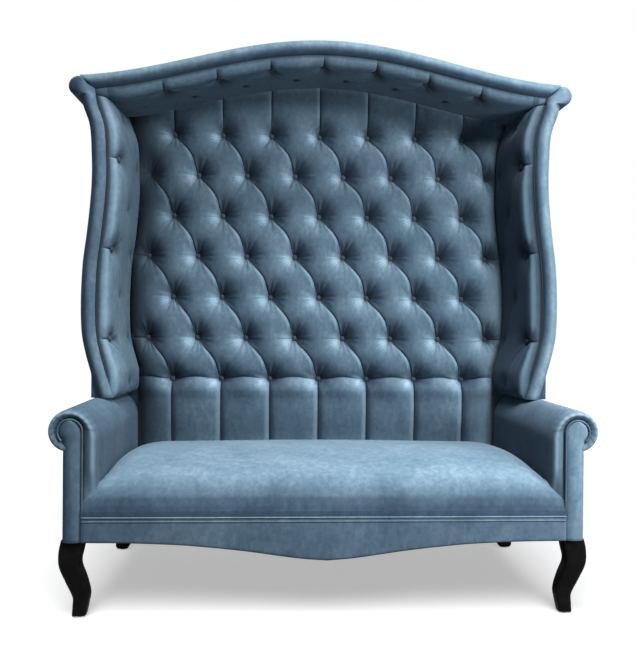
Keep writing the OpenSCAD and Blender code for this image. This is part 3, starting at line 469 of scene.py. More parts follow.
def fit(obj, finish, slot, stands_for, fill=None, sharp=50, pile=pile_lean):
    """Finishes a piece: its material, its painted light and shade by facing a given way,
    its place and the CAD node that it stands for.
    """
    if obj.name not in bpy.context.scene.collection.objects:
        bpy.context.scene.collection.objects.link(obj)
    obj.data.materials.clear()
    obj.data.materials.append(finish.material)
    obj.data.set_sharp_from_angle(angle=math.radians(sharp))
    normals = np.empty(len(obj.data.vertices) * 3)
    obj.data.vertex_normals.foreach_get("vector", normals)
    lies = obj.data.attributes.get("lie") or obj.data.attributes.new("lie", "FLOAT", "POINT")
    lies.data.foreach_set("value", (normals.reshape(-1, 3) @ np.array(pile)).astype(np.float32))
    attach(obj, "root")
    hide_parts(stands_for)
    return obj


def piece(name, rings, folds=None, sign=1, finish=velvet, slot="velvet", **how):
    """A lofted piece in place of the CAD node of its name. A sign of -1 turns it over to the left."""
    return fit(loft(name, np.asarray(rings, float) * (sign, 1, 1), folds), finish, slot, name, **how)


below = np.linspace(-1, 0, 17)[:-1] ** 2 * -(tuft_low_z - seat_back_z + behind_seat) / button_pitch[1]
within = np.concatenate([row + dense(26)[:-1] for row in range(tuft_rows)])
above = tuft_rows + np.linspace(0, 1, 15) ** 1.6
back_rows = np.concatenate([below, within, above])
half_row = back_edge_x(tuft_low_z + back_rows * button_pitch[1])
across = pleat_columns(back_rows, tuft_rows, -half_row / tuft_x, half_row / tuft_x, back_bend, per_cell=18)
rows = np.repeat(back_rows[:, None], across.shape[1], 1)
x = across * tuft_x
top_row_z = tuft_low_z + tuft_rows * button_pitch[1]
z = np.where(rows > tuft_rows, top_row_z + (rows - tuft_rows) * (soffit_z(x) + tuck_in - top_row_z),
             tuft_low_z + rows * button_pitch[1])
depth, shade = tuft(across, (z - tuft_low_z) / button_pitch[1], tuft_rows, button_pitch, back_bend,
                    sunk=button_depth, funnel=funnel_r, pleat=pleat_depth, front_pleat=pleat_depth,
                    tucked=low_tuck, last=back_last_column)
z = z + channel_arch * np.sin(np.pi * across) ** 2 * bell(rows, channel_arch_rows)
from_left, from_right = half_row[:, None] + x, half_row[:, None] - x
from_edge = half_row[:, None] - np.abs(x)
# Painted shade at the edges, the left end and the top; a painted highlight at the right end.
shade = np.where(shade < 0, shade * ease(from_edge / calm_edge), shade)
shade = np.where(from_edge < dark_edge, np.maximum(shade, edge_shade * bell(from_edge, dark_edge_r)), shade)
shade = shade + left_shade * bell(from_left, dark_left_r) + top_shade * ease((z - dark_top_z) / dark_top_run)
shade = np.clip(shade - right_painted_highlight * bell(from_right, light_right_r), -1, most_dark)
y = back_crease_y + (back_crest(z) + depth - back_crease_y) * (1 - roundover(from_edge, back_edge))
front = np.stack([x, y, z], -1)
flange = np.stack([front[:, -1], front[:, -1], front[:, 0], front[:, 0]], 1)
flange[:, :, 0] = np.sign(flange[:, :, 0]) * stump_x
flange[:, :, 1] = np.array([back_crease_y, post_y, post_y, back_crease_y])
rings = np.concatenate([front, flange], 1)
folds = np.concatenate([shade, np.zeros((len(rows), 4))], 1)
low_ring, high_ring, top_ring = rings[:1].copy(), rings[-1:].copy(), rings[-1:].copy()
low_ring[:, :, 2] = back_low_z
for ring in (high_ring, top_ring):
    ring[:, :-2, 1] = np.maximum(ring[:, :-2, 1], back_crease_y)
top_ring[:, :, 2] = hood_z(top_ring[:, :, 0]) - hood_shell - seam_gap
# Its painted light by facing leans to the right: the left end is painted darker, the right end lighter.
piece("back_pad", np.concatenate([low_ring, rings, high_ring, top_ring]),
      np.concatenate([folds[:1], folds, folds[-1:], folds[-1:]]), fill=0.8, pile=(0.85, -0.31, 0.50))

# Buttons: velvet-covered domes on twine, one at each meeting of the pleats.
# Geometry Nodes sets one turned dome on each place, its face out of the pad.
button_r, button_seat, button_edge = 0.012, 0.004, 0.024
# The domes carry an even painted shade, darker than the pad around them.
dome_top, dome_tip_r, dome_steps, dome_painted_shade = 0.0060, 0.0001, 20, 0.72
dome_turning = ((0.4, 0.0056), (0.7, 0.0042), (0.9, 0.0018), (1.0, -0.0010), (0.92, -0.0035), (0.6, -0.0050))


def buttons(name, places, outward):
    """Covered buttons on places, turned to face the given way."""
    turning = [(dome_tip_r, dome_top)] + [(button_r * share, height) for share, height in dome_turning]
    spin = [2 * math.pi * step / dome_steps for step in range(dome_steps)]
    rings = [[(r * math.cos(angle), r * math.sin(angle), height) for angle in spin] for r, height in turning]
    dome = loft(name + "_dome", rings, np.full((len(rings), dome_steps), dome_painted_shade))
    bpy.context.scene.collection.objects.link(dome)
    points = bpy.data.meshes.new(name)
    points.from_pydata([tuple(place) for place in places], [], [])
    holder = bpy.data.objects.new(name, points)
    bpy.context.scene.collection.objects.link(holder)
    tree = bpy.data.node_groups.new(name + "_set", "GeometryNodeTree")
    tree.interface.new_socket("Geometry", in_out="INPUT", socket_type="NodeSocketGeometry")
    button_socket = tree.interface.new_socket("Button", in_out="INPUT", socket_type="NodeSocketObject")
    turn_socket = tree.interface.new_socket("Turn", in_out="INPUT", socket_type="NodeSocketRotation")
    tree.interface.new_socket("Geometry", in_out="OUTPUT", socket_type="NodeSocketGeometry")
    entry, leave = tree.nodes.new("NodeGroupInput"), tree.nodes.new("NodeGroupOutput")
    one = tree.nodes.new("GeometryNodeObjectInfo")
    each = tree.nodes.new("GeometryNodeInstanceOnPoints")
    real = tree.nodes.new("GeometryNodeRealizeInstances")
    covered = tree.nodes.new("GeometryNodeSetMaterial")
    covered.inputs["Material"].default_value = velvet.material
    for source, target in (
        (entry.outputs["Button"], one.inputs["Object"]),
        (entry.outputs["Geometry"], each.inputs["Points"]),
        (one.outputs["Geometry"], each.inputs["Instance"]),
        (entry.outputs["Turn"], each.inputs["Rotation"]),
        (each.outputs["Instances"], real.inputs["Geometry"]),
        (real.outputs["Geometry"], covered.inputs["Geometry"]),
        (covered.outputs["Geometry"], leave.inputs["Geometry"]),
    ):
        tree.links.new(source, target)
    modifier = holder.modifiers.new("set", "NODES")
    modifier.node_group = tree
    modifier[button_socket.identifier] = dome
    modifier[turn_socket.identifier] = Vector((0, 0, 1)).rotation_difference(Vector(outward)).to_euler()
    evaluated = holder.evaluated_get(bpy.context.evaluated_depsgraph_get())
    made = bpy.data.meshes.new_from_object(evaluated)
    made.name = name
    holder.modifiers.clear()
    holder.data = made
    made.shade_smooth()
    bpy.data.objects.remove(dome)
    return fit(holder, velvet, "velvet", name, sharp=70)


places = []
for row in range(tuft_rows + 1):
    row_z = tuft_low_z + row * button_pitch[1]
    for column in range(-4, 5):
        column_x = (column + (row % 2) / 2) * tuft_x
        if abs(column_x) < crease_x - button_edge:
            places.append((column_x, back_crest(row_z) + button_depth - button_seat, row_z))
buttons("back_buttons", places, (0, -1, 0))

# Wing pads: the padded insides of the wings, velvet over foam, buttoned in two columns.
# Short pleats run from the front buttons to the facing, where the padding rolls over.
sides = (("left", -1), ("right", 1))
wing_column_y, wing_row_z, wing_bend = 0.043, tuft_low_z + tuft_z / 2, 0.05
wing_front_t, wing_sunk, wing_funnel_r = 0.040, 0.020, 0.028
wing_pleat, front_pleat, second_sunk, button_lift = 0.0015, 0.010, 0.010, 0.003
front_roll, back_roll, end_roll, soft_roll_share = 0.036, 0.024, 0.03, 0.3
skin_t, seam_lap, seam_strip = 0.003, 0.003, 0.01
# Painted shade towards the back and in the seam at the facing, and a painted highlight on the front roll:
wing_dark_y, wing_dark_run, wing_seam_dark = 0.03, 0.14, 0.0022
roll_light_y, roll_light_r = 0.011, 0.006
wing_back_shade, seam_shade, roll_painted_highlight = 0.20, 0.95, 0.24
row_past_pad, base_step = 8, 8
wing_pitch = (tuft_z, tuft_x / 2)


def wing_face(y, z, depth):
    """Inner face of a wing pad, which is thicker to the back and rolls over at its edges."""
    from_front = y - wing_inner_y
    thick = wing_front_t + (wing_back_t - wing_front_t) * from_front / (pad_back_y - wing_inner_y)
    ends = (roundover(z - wing_low_z, end_roll) + roundover(wing_top_z - z, end_roll)) * soft_roll_share
    front_fall, back_fall = roundover(from_front, front_roll), roundover(pad_back_y - y, back_roll)
    fall = np.maximum(front_fall, back_fall * soft_roll_share)
    return wing_side(z) - facing_w - np.maximum((thick - depth) * (1 - fall) * (1 - ends), skin_t)


def pad_rows(column_y, pitch, front_steps, row_steps, back_steps):
    """Rows of a pad with two rows of buttons, from its front edge, where they lie closest, to its back."""
    front_run = (column_y - wing_inner_y + seam_lap) / pitch
    back_run = (pad_back_y - column_y) / pitch
    return np.concatenate([
        -front_run * (1 - np.linspace(0, 1, front_steps)[:-1] ** 1.8),
        dense(row_steps)[:-1], 1 + dense(row_steps)[:-1], 2 + np.linspace(0, back_run - 2, back_steps)])


def close_pad(face, base, shade):
    """Rings and painted shade of a pad: its tufted face and a plainer base, which keeps the painted shade
    only along its front edge.
    """
    base_shade = shade * (base[..., 1] < wing_inner_y + seam_strip)
    return (np.concatenate([face, base[:, ::-base_step]], 1),
            np.concatenate([shade, base_shade[:, ::-base_step]], 1))


row_places = pad_rows(wing_column_y, wing_pitch[1], front_steps=26, row_steps=14, back_steps=8)
lowest, highest = (wing_low_z - wing_row_z) / tuft_z, (wing_top_z - wing_row_z) / tuft_z
across = pleat_columns(row_places, row_past_pad, lowest, highest, wing_bend, per_cell=18)
rows = np.repeat(row_places[:, None], across.shape[1], 1)
depth, shade = tuft(across, rows, row_past_pad, wing_pitch, wing_bend, sunk=wing_sunk,
                    funnel=wing_funnel_r, pleat=wing_pleat, front_pleat=front_pleat, behind=0.25)
z = wing_row_z + across * tuft_z
y = wing_column_y + rows * wing_pitch[1]
from_front = np.maximum(y - wing_inner_y, 0)
# Painted shade towards the back and in the seam at the facing; a painted highlight on the roll beside it.
shade = shade + wing_back_shade * ease((from_front - wing_dark_y) / wing_dark_run)
shade = np.maximum(np.clip(shade, most_lit, most_dark), seam_shade * bell(from_front, wing_seam_dark))
shade = shade - roll_painted_highlight * bell(from_front - roll_light_y, roll_light_r)
base_x = wing_side(z) - facing_w + seam_lap * (y < wing_inner_y + seam_strip)
rings, folds = close_pad(np.stack([wing_face(y, z, depth), y, z], -1), np.stack([base_x, y, z], -1), shade)
second_y = wing_column_y + wing_pitch[1]
places = [(float(wing_face(wing_column_y, row_z, wing_sunk - button_lift)), wing_column_y, row_z)
          for row_z in wing_row_z + tuft_z * np.arange(3)]
places += [(float(wing_face(second_y, row_z, second_sunk)), second_y, row_z)
           for row_z in tuft_low_z + tuft_z * np.arange(4)]
for side, sign in sides:
    piece("wing_pad_" + side, rings, folds, sign, fill=0.8)
    buttons("wing_buttons_" + side, np.array(places) * (sign, 1, 1), (-sign, 0, 0))

# Hood pad: the buttoned underside of the hood, over the sitters' heads, velvet over foam.
# Its front panels are nearly square, divided by short pleats from the buttons to the facing.
hood_row_y, hood_ends, hood_bend = 0.063, 0.7105, 0.03
hood_pitch = (tuft_x, tuft_x / 2)
hood_funnel_r, hood_pleat, hood_second_sunk, hood_button_x = 0.017, 0.0003, 0.005, 0.557
hood_flat_x, hood_flat_run, hood_roll_share, hood_seam_dark = 0.637, 0.06, 0.8, 0.0016


def hood_face(x, y, depth):
    """Underside of the hood pad, which rises at its front and back and is plain above the wings."""
    front_fall, back_fall = roundover(y - wing_inner_y, front_roll), roundover(pad_back_y - y, back_roll)
    fall = np.maximum(front_fall, back_fall * soft_roll_share)
    tufted = depth * (1 - fall) * ease((hood_flat_x - np.abs(x)) / hood_flat_run)
    rolled = fall * hood_pad_t * hood_roll_share
    return np.minimum(soffit_z(x) + tufted + rolled, hood_z(x) - hood_shell - skin_t)


row_places = pad_rows(hood_row_y, hood_pitch[1], front_steps=24, row_steps=12, back_steps=5)
across = pleat_columns(row_places, row_past_pad, -hood_ends / tuft_x, hood_ends / tuft_x, hood_bend,
                       per_cell=12)
rows = np.repeat(row_places[:, None], across.shape[1], 1)
depth, shade = tuft(across, rows, row_past_pad, hood_pitch, hood_bend, sunk=wing_sunk,
                    funnel=hood_funnel_r, pleat=hood_pleat, front_pleat=front_pleat, behind=0.1)
x = across * tuft_x
y = hood_row_y + rows * hood_pitch[1]
# Painted shade in the seam at the facing.
shade = np.maximum(shade, seam_shade * bell(np.maximum(y - wing_inner_y, 0), hood_seam_dark))
base_z = hood_z(x) - hood_shell + seam_lap * (y < wing_inner_y + seam_strip)
rings, folds = close_pad(np.stack([x, y, hood_face(x, y, depth)], -1), np.stack([x, y, base_z], -1), shade)
# Its painted light by facing is lightest where it faces the front.
piece("hood_pad", rings, folds, fill=0.8, pile=(0.3, -0.5, -0.12))
places = []
for row, sunk in enumerate((wing_sunk, hood_second_sunk)):
    row_y = hood_row_y + row * hood_pitch[1]
    for column in range(-4, 5):
        column_x = (column + row / 2) * tuft_x
        if abs(column_x) < hood_button_x:
            places.append((column_x, row_y, float(hood_face(column_x, row_y, sunk - button_lift))))
buttons("hood_buttons", places, (0, 0, -1))

# Wing facings: rolls of velvet over cord and fibre, tacked along the fronts of the wings.
# Each ends in a scroll that turns outwards under the hood.
facing_bulge, facing_bulge_share = 0.022, 0.62
scroll_x, scroll_z, scroll_r = 0.7613, 1.531, 0.030
mitre_out, mitre_in, mitre_turn = 0.759, 0.711, 0.3
scroll_start, scroll_end, scroll_steps = -107, 128, 34


def facing_rings(outer, inner, y, bulge, points=15):
    """Rounded sections between two edges, each a list of x and z."""
    outer, inner = np.asarray(outer, float), np.asarray(inner, float)
    shares = dense(points)
    place = outer[:, None] + (inner - outer)[:, None] * shares[None, :, None]
    rise = np.minimum(bulge, np.linalg.norm(inner - outer, axis=1) * facing_bulge_share)
    depth = y - rise[:, None] * np.sin(np.pi * shares)[None] ** 0.62
    return np.stack([place[..., 0], depth, place[..., 1]], -1)


levels = np.linspace(wing_low_z, wing_top_z, 70)
outer_edge = [(float(wing_x(level)), level) for level in levels]
inner_edge = [(float(wing_x(level)) - facing_w, level) for level in levels]
corner = (mitre_in, float(hood_z(mitre_in)) - facing_w)
outer_edge += [(scroll_x + scroll_r * math.cos(angle), scroll_z + scroll_r * math.sin(angle))
               for angle in np.radians(np.linspace(scroll_start, scroll_end, scroll_steps)[1:])]
mitre = np.array([inner_edge[-1], corner, outer_edge[-1]])
inner_edge += [tuple(np.interp(share, (0, mitre_turn, 1), line) for line in mitre.T)
               for share in np.linspace(0, 1, scroll_steps)[1:] ** 1.3]
rings = facing_rings(outer_edge, inner_edge, wing_inner_y, facing_bulge)
# Painted light by facing: the right facing is painted lighter than the left.
for side, sign in sides:
    piece("wing_facing_" + side, rings, None, sign, fill=0.9, pile=(0.5, -0.42 - 0.32 * sign, 0.65))

# Hood facing: the same roll of velvet along the front of the arch.
# It is mitred into the scrolls of the wings at both ends.
along = np.linspace(-1, 1, 121)
outer_edge = [(share * mitre_out, float(hood_z(share * mitre_out))) for share in along]
inner_edge = [(share * mitre_in, float(hood_z(share * mitre_in)) - facing_w) for share in along]
# Its painted light by facing is lightest where it faces the front.
piece("hood_facing", facing_rings(outer_edge, inner_edge, wing_inner_y, facing_bulge),
      fill=0.9, pile=(0.4, -0.56, 0.65))

# Wing rolls: the scrolls, velvet over a rolled pad, run back from the facings to the back cover.
# They lie along the top of the wings' outsides, under the edge of the hood.
post_back_y = 0.353
roll_end_share, roll_end_t, roll_start_y = 0.94, 0.002, 0.01
roll_places = [(wing_inner_y, roll_end_share), (wing_inner_y + roll_end_t, 1)]
roll_places += [(at_y, 1) for at_y in np.linspace(roll_start_y, post_back_y - 2 * roll_end_t, 16)]
roll_places += [(post_back_y, roll_end_share)]
rings = [[(scroll_x + scroll_r * share * math.cos(angle), at_y, scroll_z + scroll_r * share * math.sin(angle))
          for angle in np.linspace(0, 2 * np.pi, 41)[:-1]] for at_y, share in roll_places]
for side, sign in sides:
    piece("wing_roll_" + side, rings, None, sign, fill=0.9)

# Outside panels: velvet drawn tight over thin board on the wings, the arms, the hood and the back.
# They are tacked to the frame and rounded at their edges, and the back cover closes the others' ends.
panel_t, panel_x, back_y = 0.005, 0.706, 0.357
leg_h, stump_y = 0.212, -0.347
roll_x, roll_z, roll_r = 0.693, 0.508, 0.057
arm_top_z = 0.565
panel_soft, panel_turn, panel_lap, panel_gap = 0.001, 0.003, 0.020, 0.0003
hood_panel_in, hood_end_x = 0.004, 0.731
cover_round, cover_round_r, cover_top, cover_over = 0.0035, 0.004, 0.0004, 0.001
# Painted light by facing on the outside panels, lightest facing up and outwards, mirrored on the left.
outside_pile = (0.35, 0.1, 0.6)


def band(start, end, steps):
    """A closed panel's section, as places along it and steps back from its face."""
    along = [start + (end - start) * share for share in dense(steps)]
    return [(place, 0) for place in along] + [(place, -panel_t) for place in along[::-1]]


def back_half(z):
    """Half width of the back's cover, which follows the outline of the arms, wings, scrolls and hood."""
    half = np.where(z < arm_top_z, panel_x, wing_side(z))
    half = np.where(z > wing_top_z, hood_end_x, half)
    for at_x, at_z, radius in ((roll_x, roll_z, roll_r), (scroll_x, scroll_z, scroll_r)):
        bulge = at_x + np.sqrt(np.clip(radius**2 - (z - at_z) ** 2, 0, None))
        half = np.where(np.abs(z - at_z) < radius, np.maximum(half, bulge), half)
    share = np.clip(2 * (z - hood_height + hood_rise) / hood_rise - 1, -1, 1)
    arch = hood_arch / np.pi * np.arccos(share)
    return np.where(z > hood_z(hood_end_x), np.minimum(half, arch), half)


wing_panel = []
for level in np.linspace(wing_low_z, wing_top_z, 60):
    out, lap = float(wing_side(level)), float(wing_x(level)) - panel_lap
    section = [(out, at_y) for at_y in np.linspace(post_back_y, wing_inner_y + 2 * panel_soft, 13)]
    section += [(out - panel_soft, wing_inner_y - panel_soft), (out - panel_turn, wing_inner_y - panel_turn),
                (lap, wing_inner_y - panel_turn), (lap, wing_inner_y - panel_gap),
                (out - panel_t, wing_inner_y - panel_gap)]
    section += [(out - panel_t, at_y) for at_y in np.linspace(wing_inner_y, post_back_y, 8)]
    wing_panel.append([(at_x, at_y, level) for at_x, at_y in section])
arm_panel = [[(panel_x + back, at_y, level) for at_y, back in band(stump_y, post_back_y, 16)]
             for level in np.linspace(leg_h, roll_z - roll_r, 20)]
for side, sign in sides:
    piece("wing_panel_" + side, wing_panel, None, sign, pile=np.array(outside_pile) * (sign, 1, 1))
    piece("arm_panel_" + side, arm_panel, None, sign, pile=np.array(outside_pile) * (sign, 1, 1))
rings = [[(at_x, at_y, float(hood_z(at_x)) + back) for at_y, back in band(wing_inner_y, post_back_y, 12)]
         for at_x in np.linspace(-mitre_out + hood_panel_in, mitre_out - hood_panel_in, 90)]
piece("hood_panel", rings)
levels = np.unique(np.concatenate([
    np.linspace(leg_h, hood_height - cover_top, 110),
    np.linspace(roll_z - roll_r, roll_z + roll_r + cover_over, 16),
    np.linspace(scroll_z - scroll_r, scroll_z + scroll_r + cover_over, 16)]))
across = dense(24) * 2 - 1
rings = []
for level in levels:
    half = float(back_half(level))
    fall = cover_round * roundover(half * (1 - np.abs(across)), cover_round_r)
    rings.append([(half * share, back_y - down, level) for share, down in zip(across, fall)]
                 + [(half * share, post_back_y, level) for share in across[::-1]])
# Painted light by facing on the back cover, lightest facing up and back.
piece("back_cover", rings, pile=(0.1, 0.4, 0.6))

# Arm pads: the rolls and the padded insides of the arms, velvet over foam, one cover each.
# The front of the roll turns in to the keyhole facing in small gathers under the welt.
# Low down the turned front slants back, behind the corner of the seat.
arm_inner_x, arm_inner_front_x, arm_front_y = 0.617, 0.658, -0.349
swell_run, shoulder_drop, deck_z = 0.052, 0.028, 0.283
welt_x, facing_r, welt_d, welt_gap = 0.688, 0.029, 0.008, 0.0015
side_steps, quarter_steps, over_steps, lip_steps = 22, 26, 38, 16
over_angle, hole_angle = 190, 232
turn_in, lip_start, lip_swell, lip_low_start = 0.038, 0.007, 0.011, 0.003
front_part, slant_z, slant_run = 0.10, 0.33, 0.08
pucker_depth, post_gap, post_top_gap = 0.0022, 0.0005, 0.002
pucker_from, pucker_rise, crease_from = 0.2, 8, 0.3
lip_swell_share, lip_swell_power, lip_open_power = 0.9, 0.7, 0.8
gather_waves, unrest, unrest_waves, gather_power = 58, 0.5, 17, 0.5
# Painted shade in the lip's seam and creases, and a painted highlight round the lip:
lip_seam_dark, lip_seam_w, crease_dark, crease_w = 0.9, 0.14, 0.55, 0.7
lip_light, lip_light_at, lip_light_w = 0.28, 0.75, 0.18
foot_in, foot_out, foot_lift = 0.030, 0.010, 0.004


def arm_inner(y):
    """Inside of an arm, which swells out to the facing."""
    share = np.clip((y - arm_front_y) / swell_run, 0, 1)
    return arm_inner_front_x + (arm_inner_x - arm_inner_front_x) * np.sqrt(1 - (1 - share) ** 2)


def arc(at_x, at_z, wide, high, angles):
    """Points of an arc that starts on its left and goes over its top."""
    return [(at_x - wide * math.cos(angle), at_z + high * math.sin(angle)) for angle in angles]


def arm_profile(inner):
    """Section of an arm from its inner foot, over the roll and under it, to the panel."""
    shoulder_z = roll_z - shoulder_drop
    side = [(inner, level) for level in np.linspace(deck_z, shoulder_z, side_steps, endpoint=False)]
    quarter = arc(roll_x, shoulder_z, roll_x - inner, arm_top_z - shoulder_z,
                  np.linspace(0, np.pi / 2, quarter_steps, endpoint=False))
    over = arc(roll_x, roll_z, roll_r, roll_r, np.pi / 2 + np.linspace(0, np.radians(over_angle), over_steps))
    return np.array(side + quarter + over)


def keyhole():
    """Outline of a facing with its welt, matched point for point to the arm's section."""
    r = facing_r + welt_d / 2 + welt_gap
    side = [(welt_x - r, level) for level in np.linspace(deck_z, roll_z, side_steps, endpoint=False)]
    return np.array(side + arc(welt_x, roll_z, r, r,
                               np.linspace(0, np.radians(hole_angle), quarter_steps + over_steps)))


hole = keyhole()
lip = np.linspace(0, 1, lip_steps)
lip_swelling = lip_swell * np.sin(np.pi * np.clip(lip / lip_swell_share, 0, 1)) ** lip_swell_power
straight_depths = np.concatenate([np.linspace(turn_in, front_part, 14)[1:],
                                  np.linspace(front_part, post_back_y - arm_front_y, 22)[1:]])
depths = np.concatenate([lip_start - lip_swelling + (turn_in - lip_start) * lip**3, straight_depths])
low_depths = np.concatenate([lip_low_start + (turn_in - lip_low_start) * lip, straight_depths])
openings = np.sin(np.pi / 2 * np.concatenate([lip**lip_open_power, np.ones(len(straight_depths))]))
along = np.linspace(0, 1, len(hole))
gather = 1 - np.abs(np.sin(along * gather_waves + unrest * np.sin(along * unrest_waves))) ** gather_power
rings, folds = [], []
for deep, low_deep, opening in zip(depths, low_depths, openings):
    at_y = arm_front_y + deep
    away = arm_profile(float(arm_inner(max(at_y, arm_front_y + turn_in)))) - hole
    pucker = -pucker_depth * gather * (1 - opening) * np.clip((along - pucker_from) * pucker_rise, 0, 1)
    outward = away / np.maximum(np.linalg.norm(away, axis=1), 1e-6)[:, None]
    section = hole + away * opening + outward * pucker[:, None]
    if at_y > pad_back_y:
        beside_post = section[:, 1] < arm_top_z - post_top_gap
        section[:, 0] = np.where(beside_post, np.maximum(section[:, 0], stump_x + post_gap), section[:, 0])
    slant = (low_deep - deep) * (1 - ease((section[:, 1] - slant_z) / slant_run))
    rings.append([(at_x, at_y + back, level) for (at_x, level), back in zip(section, slant)]
                 + [(roll_x - foot_out, at_y, roll_z - roll_r + foot_lift), (roll_x - foot_in, at_y, deck_z)])
    # Painted shade in the seam and the gathers' creases, and a painted highlight round the turned lip.
    seam = lip_seam_dark * bell(opening, lip_seam_w)
    lit = lip_light * bell(opening - lip_light_at, lip_light_w) * (deep < turn_in)
    creases = (crease_dark + lit) * gather * (along > crease_from) * bell(opening, crease_w)
    folds.append(np.append(seam - lit + creases, [0, 0]))
# Painted light by facing, the right arm painted a little lighter on top.
for side, sign in sides:
    piece("arm_pad_" + side, rings, folds, sign, fill=0.9, pile=(0.10, -0.25, 0.36 + 0.03 * sign))

# Arm facings: keyhole panels of velvet over board, lightly padded and nailed to the arm stumps.
# A piped welt runs up the inner side of each and round its head.
front_y, facing_head = -0.357, facing_r + 0.002
facing_neck_z, neck_angle, facing_lift = 0.470, -50, 0.0085
facing_steps, head_steps = 34, 30
welt_r, welt_out, welt_in_y, welt_angle, welt_shade = 0.003, 0.0018, 0.007, 228, 0.5
head = np.linspace(0, 1, head_steps)[1:]
inner_edge = [(welt_x - facing_head, level) for level in np.linspace(leg_h, roll_z, facing_steps)]
inner_edge += arc(welt_x, roll_z, facing_head, facing_head, head * np.pi / 2)
outer_edge = [(panel_x, level) for level in np.linspace(leg_h, facing_neck_z, facing_steps)]
outer_edge += arc(welt_x, roll_z, facing_head, facing_head,
                  np.pi - np.radians(neck_angle + (90 - neck_angle) * head))
rings = facing_rings(inner_edge, outer_edge, stump_y + seam_gap, facing_lift, 11)
# Painted light by facing: the right facing is painted lighter than the left.
for side, sign in sides:
    piece("arm_facing_" + side, rings, None, sign, fill=0.5, pile=(0.5, -0.35 - 0.18 * sign, 0.6))


def cord(name, path, radius, shade, stands_for):
    """A piped welt along a path, closed at both ends, with an even painted shade."""
    path = np.asarray(path, float)
    steps = np.gradient(path, axis=0)
    steps = steps / np.linalg.norm(steps, axis=1)[:, None]
    side_way = np.cross(steps, np.array([0.0, 1.0, 0.0]))
    side_way = side_way / np.linalg.norm(side_way, axis=1)[:, None]
    up_way = np.cross(side_way, steps)
    around = np.linspace(0, 2 * np.pi, 13)[:-1]
    rings = (path[:, None] + radius * (np.cos(around)[None, :, None] * side_way[:, None]
                                       + np.sin(around)[None, :, None] * up_way[:, None]))
    return fit(loft(name, rings, np.full(rings.shape[:2], shade)), velvet, "velvet", stands_for)


# Each welt carries an even painted shade.
for side, sign in sides:
    reach = facing_head + welt_out
    path = [(welt_x - reach, level) for level in np.linspace(leg_h, roll_z, 40)]
    path += arc(welt_x, roll_z, reach, reach, np.linspace(0, np.radians(welt_angle), 40)[1:])
    cord("arm_welt_" + side, [(at_x * sign, front_y + welt_in_y, level) for at_x, level in path],
         welt_r, welt_shade, "arm_welt_" + side)

# Seat: a tight crowned pad of foam over springs, in velvet pulled down at the front under two cords.
# Its shoulders are rounded and sink a little towards the arms, and its cover shows two soft pulls.
seat_front_y, seat_back_y = -0.3535, 0.242
seat_edge_z, seat_crown_z, foam_z = 0.2815, 0.425, 0.330
foam_front_share, seat_sag, least_t = 0.052, 0.006, 0.002
corner_y, corner_run, shoulder_run = -0.345, 0.06, 0.120
foot_share, fuller_share, front_drop, more_drop = 0.16, 0.22, 0.16, 0.34
front_share, front_steps, top_steps = 0.12, 30, 56
seat_shares = ((0, 0.1), (0.006, 0.22), (0.018, 0.38), (0.05, 0.58), (0.1, 0.74), (0.2, 0.89), (0.36, 0.98),
               (0.55, 1), (0.8, 0.93), (0.95, 0.84), (1, 0.79))
pull_turn_y = 0.05
pulls = ((0.0025, 0.17, 0.35, 0.018, 0.03, 0.07), (0.0020, 0.25, -0.5, 0.022, 0.06, 0.06))
run_back = np.concatenate([np.linspace(0, 1, front_steps)[:-1] ** 2 * front_share,
                           np.linspace(front_share, 1, top_steps)])
cross = dense(110) * 2 - 1
rings = []
for share in run_back:
    at_y = seat_front_y + (seat_back_y - seat_front_y) * share
    drawn_in = (arm_inner_front_x - arm_inner_x) * float(ease((at_y - corner_y) / corner_run))
    half = arm_inner_front_x - seam_gap - drawn_in
    x = half * cross
    top = seat_edge_z + (seat_crown_z - seat_edge_z) * float(smooth(seat_shares, share))
    base = seat_edge_z if share <= foam_front_share else foam_z
    foot = seat_edge_z + (foam_z - seat_edge_z) * float(ease(share / foot_share))
    shoulder = roundover(half - np.abs(x), shoulder_run)
    shoulder = shoulder * (front_drop + more_drop * float(ease(share / fuller_share)))
    sag = seat_sag * (1 - np.cos(np.pi * x / half)) / 2 * float(ease(4 * share))
    z = np.maximum(foot + (top - foot) * (1 - shoulder) - sag, base + least_t)
    for pull_depth, pull_x, pull_slant, pull_w, pull_y, pull_l in pulls:
        beside = x - pull_x - pull_slant * (at_y - pull_turn_y)
        z = z - pull_depth * bell(beside, pull_w) * bell(at_y - pull_y, pull_l)
    rings.append(np.concatenate([np.stack([x, np.full_like(x, at_y), z], -1),
                                 [[half, at_y, base], [-half, at_y, base]]]))
# Painted light by facing, lightest on top.
piece("seat_pad", rings, fill=0.9, pile=(0.15, 0.25, 1.04))

# Seat border: velvet over the front rail, cut in a shallow serpentine below.
# Two cords, piped in velvet, are sewn along the seam between it and the seat.
apron_shares = ((0, 1), (0.1, 0.9), (0.2, 0.73), (0.3, 0.54), (0.4, 0.38), (0.5, 0.25), (0.6, 0.14),
                (0.8, 0.03), (1, 0))
border_y, border_half, border_round, border_round_r = -0.355, 0.656, 0.002, 0.006
border_top_z, apron_drop = 0.2665, 0.050
strip_top_z, strip_in, strip_step = 0.2795, 0.002, 0.0008
cord_d, cord_y, cord_low_z, cord_high_z = 0.005, -0.3540, 0.2678, 0.2785
rings = []
for share in np.linspace(-1, 1, 121):
    low = leg_h - apron_drop * float(smooth(apron_shares, abs(share)))
    levels = np.append(low + (border_top_z - low) * dense(16), [border_top_z + strip_step, strip_top_z])
    rounding = border_round * roundover(levels - low, border_round_r)
    faces = border_y + rounding + strip_in * (levels > border_top_z)
    rings.append([(border_half * share, at_y, level) for at_y, level in zip(faces, levels)]
                 + [(border_half * share, stump_y, level) for level in levels[::-1]])
